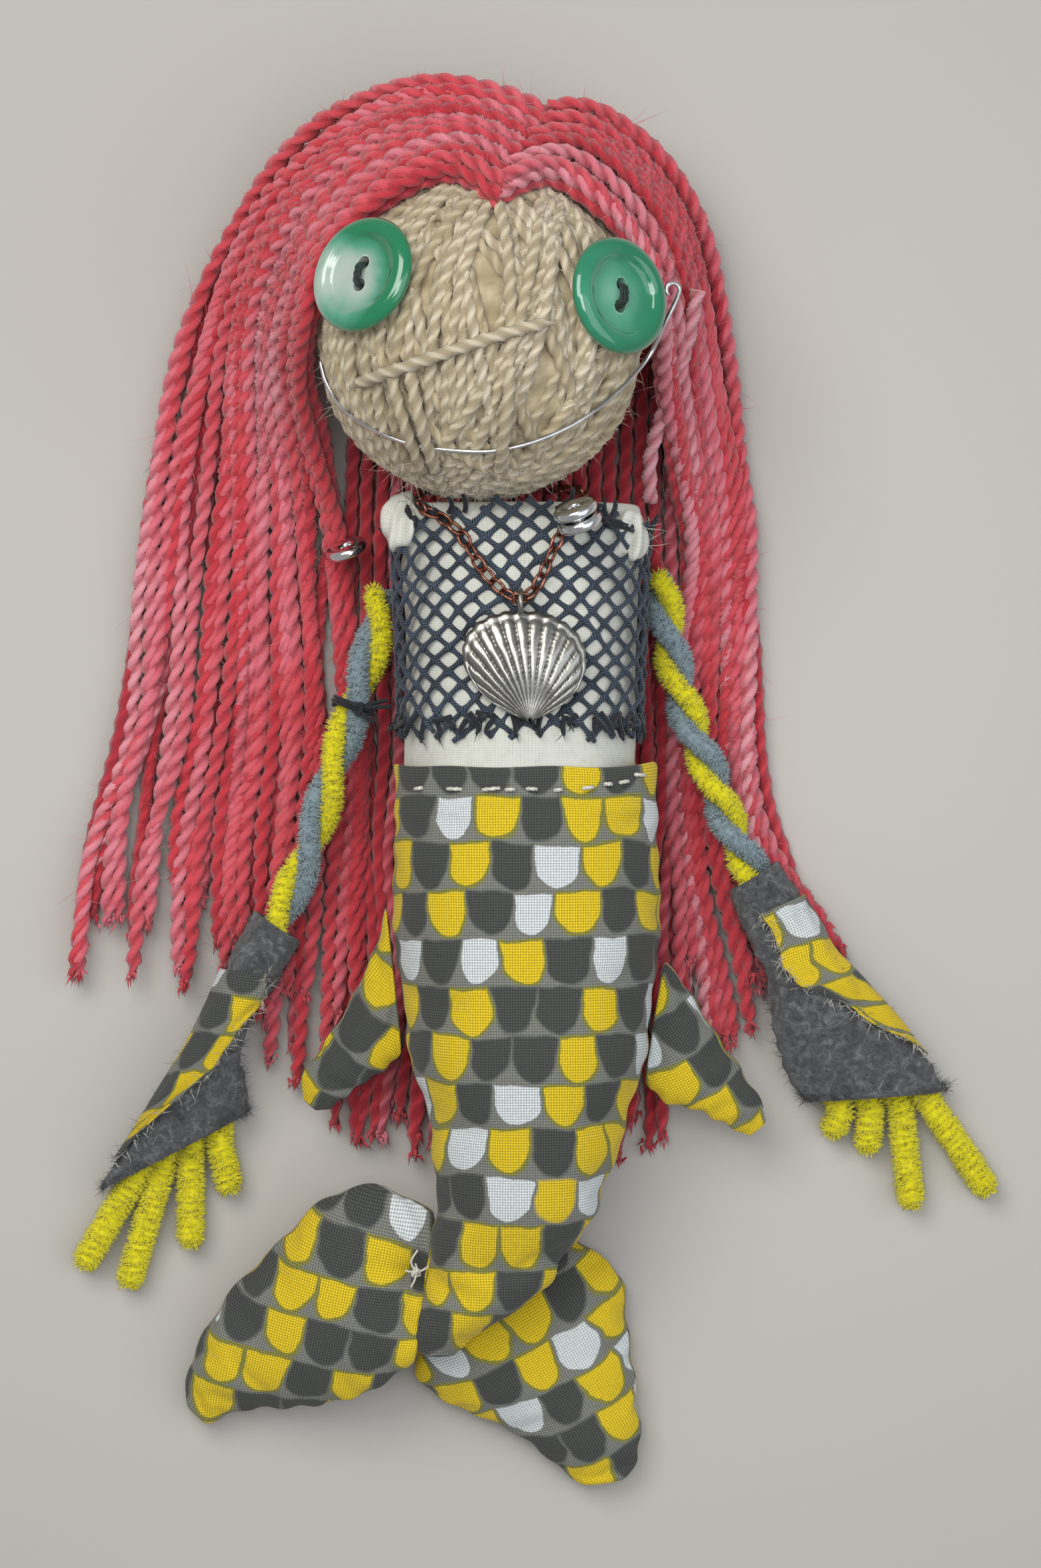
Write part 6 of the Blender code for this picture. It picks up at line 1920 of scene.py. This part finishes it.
@dataclass
class Tail:
    """The stuffed tail with its hem and running stitches, the hip fins and the flukes."""

    length: float = 111.0
    width: float = 51.2
    power: float = 2.3
    flattened: float = 0.985
    in_tail: float = 12.0
    rows: int = 76
    columns: int = 64
    pucker: tuple[float, float] = (-19.6, -91.8)
    pucker_height: float = 22.5
    hem_stitches: tuple[tuple[float, float, float], ...] = (  # x, length, how far above the others
        (-18.9, 1.4, 0.1), (-12.2, 2.6, 0.0), (-5.4, 3.1, 0.0), (-1.9, 1.6, -0.1), (2.1, 1.8, 0.0),
        (6.9, 1.3, -0.2), (12.5, 2.0, 0.2), (16.2, 1.3, 0.9), (19.2, 1.6, 1.3), (22.2, 2.0, 2.6))
    stuffing: Stuffing = field(default_factory=Stuffing)
    fin_stuffing: Stuffing = field(default_factory=lambda: Stuffing(pressure=3.0, cap_mm=1.2))

    def section(self, t: Array) -> tuple[Array, ...]:
        """Give the tail's middle x, y and z, half width and half depth at t from hem to end."""
        y = WAIST_Y - self.length * t
        wide = eased(t, ((0, 0.955), (0.25, 1.0), (0.46, 0.9), (0.62, 0.715), (0.74, 0.6), (0.86, 0.47),
                         (1, 0.2)))
        x = eased(t, ((0, 1.0), (0.6, 1.4), (0.74, -0.5), (0.84, -5.0), (1, -15.5)))
        deep = eased(t, ((0, 1.0), (0.45, 0.96), (0.72, 0.66), (0.86, 0.47), (1, 0.22)))
        end_z = 0.4 + 12.0 + SEAT_GAP + BODY_HALF_DEPTH * 0.42
        z = eased(t, ((0, BODY_Z), (0.62, BODY_Z), (0.88, end_z), (1, end_z - 0.8)))
        return x, y, z, self.width / 2 * wide, BODY_HALF_DEPTH * deep

    def body(self) -> tuple[Surface, Array]:
        """Loft the tail from its end to the hem, and down the socket that the torso goes in.

        The cloth's map runs round the body from the front's middle and along it, both in millimetres.

        Returns:
            The surface, and a weight that holds the hem and the side seams.
        """
        rounding = np.linspace(0.06, 1, 10) * math.pi / 2
        t = np.concatenate([0.95 + 0.05 * np.cos(rounding), np.linspace(0.95, 0, self.rows - 9)[1:]])[:, None]
        closing = np.concatenate([np.sin(rounding), np.ones(self.rows - 10)])[:, None]
        angle = -circle(self.columns)
        x, y, z, wide, deep = self.section(t)
        wide, deep = wide * closing ** 0.7, deep * closing
        c, s = oblong(angle[None], self.power)
        seam = np.exp(-(np.abs(s) / 0.09) ** 2)
        pucker = 0.35 * np.sin(y / 1.15 + np.sign(c) * 0.8) * np.exp(-(np.abs(s) / 0.28) ** 2)
        points = xyz(x + wide * c * (1 - 0.012 * seam) + np.sign(c) * pucker * 0.55, y,
                     z + deep * s * self.flattened)
        hem = 0.35 * np.exp(-((y - (WAIST_Y - 3.6)) / 0.9) ** 2)
        points[..., 2] -= hem * np.clip(s, 0, 1) * (0.6 + 0.4 * np.cos(c * 24))
        points = self.gathered(points, np.clip(s, 0, 1))
        rise = np.exp((y - WAIST_Y) / 2.2)
        points[..., 1] += rise * (1.2 * np.abs(c) ** 8 + 0.3 * np.sin(c * 8))
        points[..., 0] += rise * 0.6 * np.sign(c) * np.abs(c) ** 8
        sock_y = WAIST_Y - np.array([-0.15, 0.6, 6.0, self.in_tail + SAFE_GAP])[:, None]
        socket = on_body(sock_y, angle[None], SAFE_GAP)
        socket[0] = (points[-1] + socket[0]) / 2 + (0, 0.35, 0)
        rings = np.concatenate([points, socket])
        girth = run_along(np.concatenate([rings, rings[:, :1]], axis=1))
        half, quarter = (girth[:, [column]] for column in (self.columns // 2, self.columns * 3 // 4))
        folded = np.where(girth < half, girth - half / 2 + 40.0, quarter - girth)
        folded = folded - np.concatenate([x, np.full((4, 1), x[-1, 0])])
        ys = np.append(rings[:, :, 1].mean(axis=1), rings[-1, 0, 1])
        uv = xyz(np.vstack([folded, folded[-1:]]), ys[:, None])
        surface = grid_surface(rings, capped=True, uv=uv)
        held = np.zeros((len(rings), self.columns))
        held[self.rows - 5:] = held[:2] = 1.0
        held[:, 0] = held[:, self.columns // 2] = 1.0
        return surface, np.concatenate([held.ravel(), [1.0, 1.0]])

    def gathered(self, points: Array, above: Array) -> Array:
        """Draw cloth in to the pucker where the left fluke is sewn on, with folds that spread from it.

        Args:
            points: Places on the cloth.
            above: How far each one belongs to the upper face, from 0 to 1.

        Returns:
            The places, nearer to the pucker and lower the nearer they are.
        """
        away = points[..., :2] - np.array(self.pucker)
        reach = norm(away, axis=-1)
        turn = np.arctan2(away[..., 1], away[..., 0])
        folds = 1.5 * np.cos(7 * turn + 0.8 * np.sin(turn)) * np.minimum(reach / 3.0, 1)
        points[..., :2] -= away * (0.35 * np.exp(-(reach / 5.0) ** 2) * above)[..., None]
        points[..., 2] += (folds * np.exp(-(reach / 8.0) ** 2) - 4.0 * np.exp(-(reach / 4.2) ** 2)) * above
        return points

    def pad(self, upper: Sequence, lower: Sequence, first: float, last: float, depth: float,
            depths: Stops, turn: float, start: tuple[float, float]) -> tuple[Surface, Array]:
        """Loft a fin or fluke between its two edges, with its seam along both and gathered at the root.

        Args:
            upper: The edge on the head's side, in plan.
            lower: The other edge.
            first: The height of the middle at the root.
            last: The height at the tip.
            depth: The greatest thickness.
            depths: (t, share) stops of the thickness.
            turn: The turn of the print in degrees.
            start: Where on the print the piece was cut.

        Returns:
            The surface, and a weight that holds its seams.
        """
        rows, columns = (46, 48) if depth > 8 else (34, 32)
        t = np.linspace(0, 1, rows)[:, None]
        upper, lower = curve_through(upper, rows)[:, None], curve_through(lower, rows)[:, None]
        angle = -circle(columns)
        c, s = oblong(angle[None], 2.0)
        middle, half = (upper + lower) / 2, (lower - upper) / 2
        size = norm(half, axis=-1)
        pleats = 1 + 0.16 * np.sin(c * 9) * np.exp(-(t / 0.12) ** 2)
        thick = depth / 2 * eased(t, depths) * pleats
        bite = 0.3 * np.sin(t * rows * 0.9) * np.exp(-(np.abs(s) / 0.3) ** 2) / size
        flat = middle + half * (c * (1 + bite))[..., None]
        z = first + (last - first) * t + thick * s * (0.93 + 0.05 * np.sin(t * 40 + c * 4) * np.abs(c))
        points = self.gathered(xyz(flat[..., 0], flat[..., 1], z), np.clip(s, 0, 1) + 0 * t)
        way = math.radians(turn)
        along = flat[..., 0] * math.cos(way) + flat[..., 1] * math.sin(way)
        rise = -flat[..., 0] * math.sin(way) + flat[..., 1] * math.cos(way)
        drape = 0.55 * thick * np.abs(s)
        uv = xyz(along + start[0] + np.where(s < 0, 37.0, 0.0), rise + start[1] + drape)
        uv = np.concatenate([uv, uv[-1:]])
        uv = np.concatenate([uv, uv[:, :1]], axis=1)
        surface = grid_surface(points, capped=True, uv=uv).faced_out()
        held = np.zeros((rows, columns))
        held[:, 0] = held[:, columns // 2] = 1.0
        held[:3] = held[-2:] = 1.0
        held[norm(points[..., :2] - np.array(self.pucker), axis=-1) < 5] = 1.0
        return surface, np.concatenate([held.ravel(), [1.0, 1.0]])

    def hip(self, side: Side) -> tuple[Surface, Array]:
        """Make one hip fin, whose root follows the tail's side."""
        upper, lower, first, last, turn = {
            Side.LEFT: ([(-27.6, -31), (-33.4, -43), (-40.8, -54.4), (-41.4, -59.8)],
                        [(-25.6, -54), (-30.4, -57), (-35.4, -61), (-38.6, -62.2)], 22.5, 50.5, -38.0),
            Side.RIGHT: ([(30.4, -37), (36, -45.5), (44.4, -58), (47.0, -64.0)],
                         [(27.4, -60.2), (33, -61.6), (39.7, -65), (43.4, -67)], 33.0, 56.0, 30.0),
        }[side]
        roots = []
        for down in (first, last):
            x, _, _, wide, _ = self.section(np.array((down + WAIST_Y) / self.length))
            roots.append((float(x + side.value * (wide + SAFE_GAP + 0.3)), -down))
        depths = ((0, 0.7), (0.4, 1.0), (0.8, 0.8), (1, 0.3))
        return self.pad([roots[0], *upper], [roots[1], *lower], BODY_Z - 4, BODY_Z - 11, 6.5, depths, turn,
                        (13.0 * side.value, 21.0))

    def fluke(self, side: Side) -> tuple[Surface, Array]:
        """Make one fluke: the left beside the tail's end, the right under it."""
        depths = ((0, 0.72), (0.3, 1.0), (0.75, 0.75), (1, 0.3))
        if side is Side.LEFT:
            upper = [(-15.6, -80.9), (-27, -75.8), (-37, -78.4), (-46, -87.0), (-56, -97.6), (-62.8, -110),
                     (-64, -119)]
            lower = [(-19.6, -108.6), (-28.3, -114.9), (-36, -117.4), (-43, -118.6), (-50, -119),
                     (-56, -120.5), (-60, -122.6)]
            return self.pad(upper, lower, 19.0, 4.6, 12.0, depths, -12.0, (31.0, 5.0))
        upper = [(6, -84.5), (13, -88.2), (19.2, -94), (20.6, -104), (22.2, -116), (22.8, -127), (20, -133.1)]
        lower = [(-19.5, -104), (-19.8, -113), (-13, -118.6), (-5, -122), (1, -125.4), (6.3, -129.8),
                 (12, -134.2)]
        return self.pad(upper, lower, 7.3, 4.8, 12.0, depths, 28.0, (7.0, 11.0))

    def stitches(self, dice: Dice) -> Surface:
        """Sew the running stitches below the hem: short dashes that dip into the cloth at both ends."""
        lines = []
        for middle, length, rise in self.hem_stitches:
            run = np.linspace(-0.5, 0.5, 12) * length
            x = middle + run
            y = WAIST_Y - 3.9 + rise + run * dice.uniform(-0.15, 0.15)
            t = (WAIST_Y - y) / self.length
            x0, _, z0, wide, deep = self.section(t)
            aside = np.minimum(np.abs(x - x0) / wide, 0.98)
            top = z0 + deep * self.flattened * (1 - aside ** self.power) ** (1 / self.power)
            lines.append(xyz(x, y, top + 0.95 * np.cos(run / length * math.pi) + 0.1))
        return sweep(np.array(lines), (0, 0, 1.0), 0.42, 8, np.arange(12)[None] * 0.7,
                     TWISTED)

    def knot(self, dice: Dice) -> Surface:
        """Lay the threads that draw the pucker in: a small tangle, and short stitches that spread from it."""
        x, y = self.pucker
        middle = np.array([x, y, self.pucker_height])
        way = np.radians([28.0, 95.0, 170.0, 250.0])
        reach = np.array([2.6, 1.7, 2.1, 2.9])
        ends = middle + xyz(reach * np.cos(way), reach * np.sin(way), -0.2)
        lines = [curve_through([middle, (middle + end) / 2 + (0.2, 0, 0.5), end], 24) for end in ends]
        lines += [curve_through(middle + dice.normal(0, 0.55, (9, 3)), 24) for _ in range(2)]
        lines.append(curve_through([middle, middle + (-0.9, 2.2, 1.2), middle + (0.3, 4.4, 1.6)], 24))
        return sweep(np.array(lines), (0.1, 0.2, 1.0), 0.2, 6)

    def build(self, linen: Material, cotton: Material) -> None:
        """Make the tail, stuff it, and add the fins, flukes and stitches."""
        surface, held = self.body()
        body = new_piece("tail_cloth", surface, linen, ["tail"])
        self.stuffing.fill(body, held)
        for side in Side:
            name = side.name.lower()
            for kind, maker in (("hip_fin", self.hip), ("fluke", self.fluke)):
                surface, held = maker(side)
                piece = new_piece(f"{kind}_cloth_{name}", surface, linen, [f"{kind}_{name}"])
                self.fin_stuffing.fill(piece, held)
        dice = np.random.default_rng(101)
        new_piece("running_stitches", joined([self.stitches(dice), self.knot(dice)]), cotton)


@dataclass
class Studio:
    """The pale floor, the soft lamps and the camera straight above."""

    camera_height: float = 1.0
    lens_mm: float = 119.5
    paper: MattPaper = MattPaper()

    def lamp(self, name: str, place: tuple[float, float, float], size: float, watts: float,
             colour: str) -> None:
        """Hang a square soft lamp that looks at the doll's middle."""
        light = bpy.data.lights.new(name, "AREA")
        light.shape = "SQUARE"
        light.size = size
        light.energy = watts
        light.color = linear_colour(colour)[:3]
        thing = bpy.data.objects.new(name, light)
        thing.location = place
        back = unit(np.array(place) - (0.0, 0.0, 0.02))
        across = unit(np.cross([0.0, 1.0, 0.01], back))
        turn = Matrix(np.column_stack([across, np.cross(back, across), back]).tolist()).to_4x4()
        turn.translation = place
        thing.matrix_world = turn
        bpy.context.scene.collection.objects.link(thing)

    def build(self) -> None:
        """Lay the floor, hang the lamps and set the camera."""
        side = np.linspace(-900, 900, 13)
        x, y = np.meshgrid(side, side, indexing="xy")
        ground = grid_surface(xyz(x, y, -0.2), wrap_columns=False)
        mesh = bpy.data.meshes.new("floor")
        mesh.from_pydata((ground.points * MM).tolist(), [], ground.quads.tolist())
        mesh.materials.append(self.paper.material())
        floor = bpy.data.objects.new("floor", mesh)
        bpy.context.scene.collection.objects.link(floor)
        self.lamp("key", (-0.35, 0.45, 0.85), 0.6, 5.5, "#FFFAF4")
        self.lamp("fill", (0.6, -0.1, 0.8), 0.9, 3.0, "#F4F7FF")
        self.lamp("top", (0.0, 0.1, 1.3), 0.5, 4.0, "#FFFFFF")
        world = bpy.data.worlds.new("studio")
        world.use_nodes = True
        light = world.node_tree.nodes["Background"].inputs
        light["Color"].default_value, light["Strength"].default_value = linear_colour("#E9E8EA"), 0.42
        bpy.context.scene.world = world
        camera = bpy.data.objects.new("camera", bpy.data.cameras.new("camera"))
        camera.data.lens = self.lens_mm
        camera.data.sensor_width = 36.0
        camera.data.clip_start = 0.05
        camera.location = (0.0, 0.0, self.camera_height)
        bpy.context.scene.collection.objects.link(camera)
        bpy.context.scene.camera = camera


def main() -> None:
    """Build the doll's looks in order, then the studio."""
    logging.basicConfig(level=logging.INFO, format="%(name)s: %(message)s")
    scene = bpy.context.scene
    scene.view_settings.view_transform = "Standard"
    Studio().build()
    linen = PrintedLinen().material()
    # The pale colour is the thread's painted highlight, the dark one the painted shade in its twist.
    cotton = TwistedThread("white_cotton_thread", "#C9C8BE", "#F0EFE6", 0.8).material()
    felt = PressedFelt().material()
    WoundHead().build()
    Hair().build()
    Torso().build()
    cut_net = NetTop().build()
    Necklace().build()
    # The pale colour is the thread's painted highlight, the dark one the painted shade in its twist.
    thread = TwistedThread("dark_button_thread", "#0B1512", "#24423A", 0.6).material()
    # The last number is how strongly each button's painted highlight and shade show.
    grey_pearl = PearlResin("grey_green_pearl_resin", "#0B7A50", "#4A9A7D", "#A6BCAF", "#C4D1C8", 0.5)
    green_pearl = PearlResin("green_pearl_resin", "#0F7A55", "#2A8A69", "#54A486", "#8CC4AB", 0.3)
    Eye(Side.LEFT, -20.0, 8.3, 38.0, 4.0, grey_pearl).build(thread)
    Eye(Side.RIGHT, 24.3, 4.9, 40.0, 12.0, green_pearl).build(thread)
    silver = Smile().build()
    EarDrops().build(silver)
    Arms().build(felt, linen, cotton, cut_net)
    Tail().build(linen, cotton)


if __name__ == "__main__":
    main()
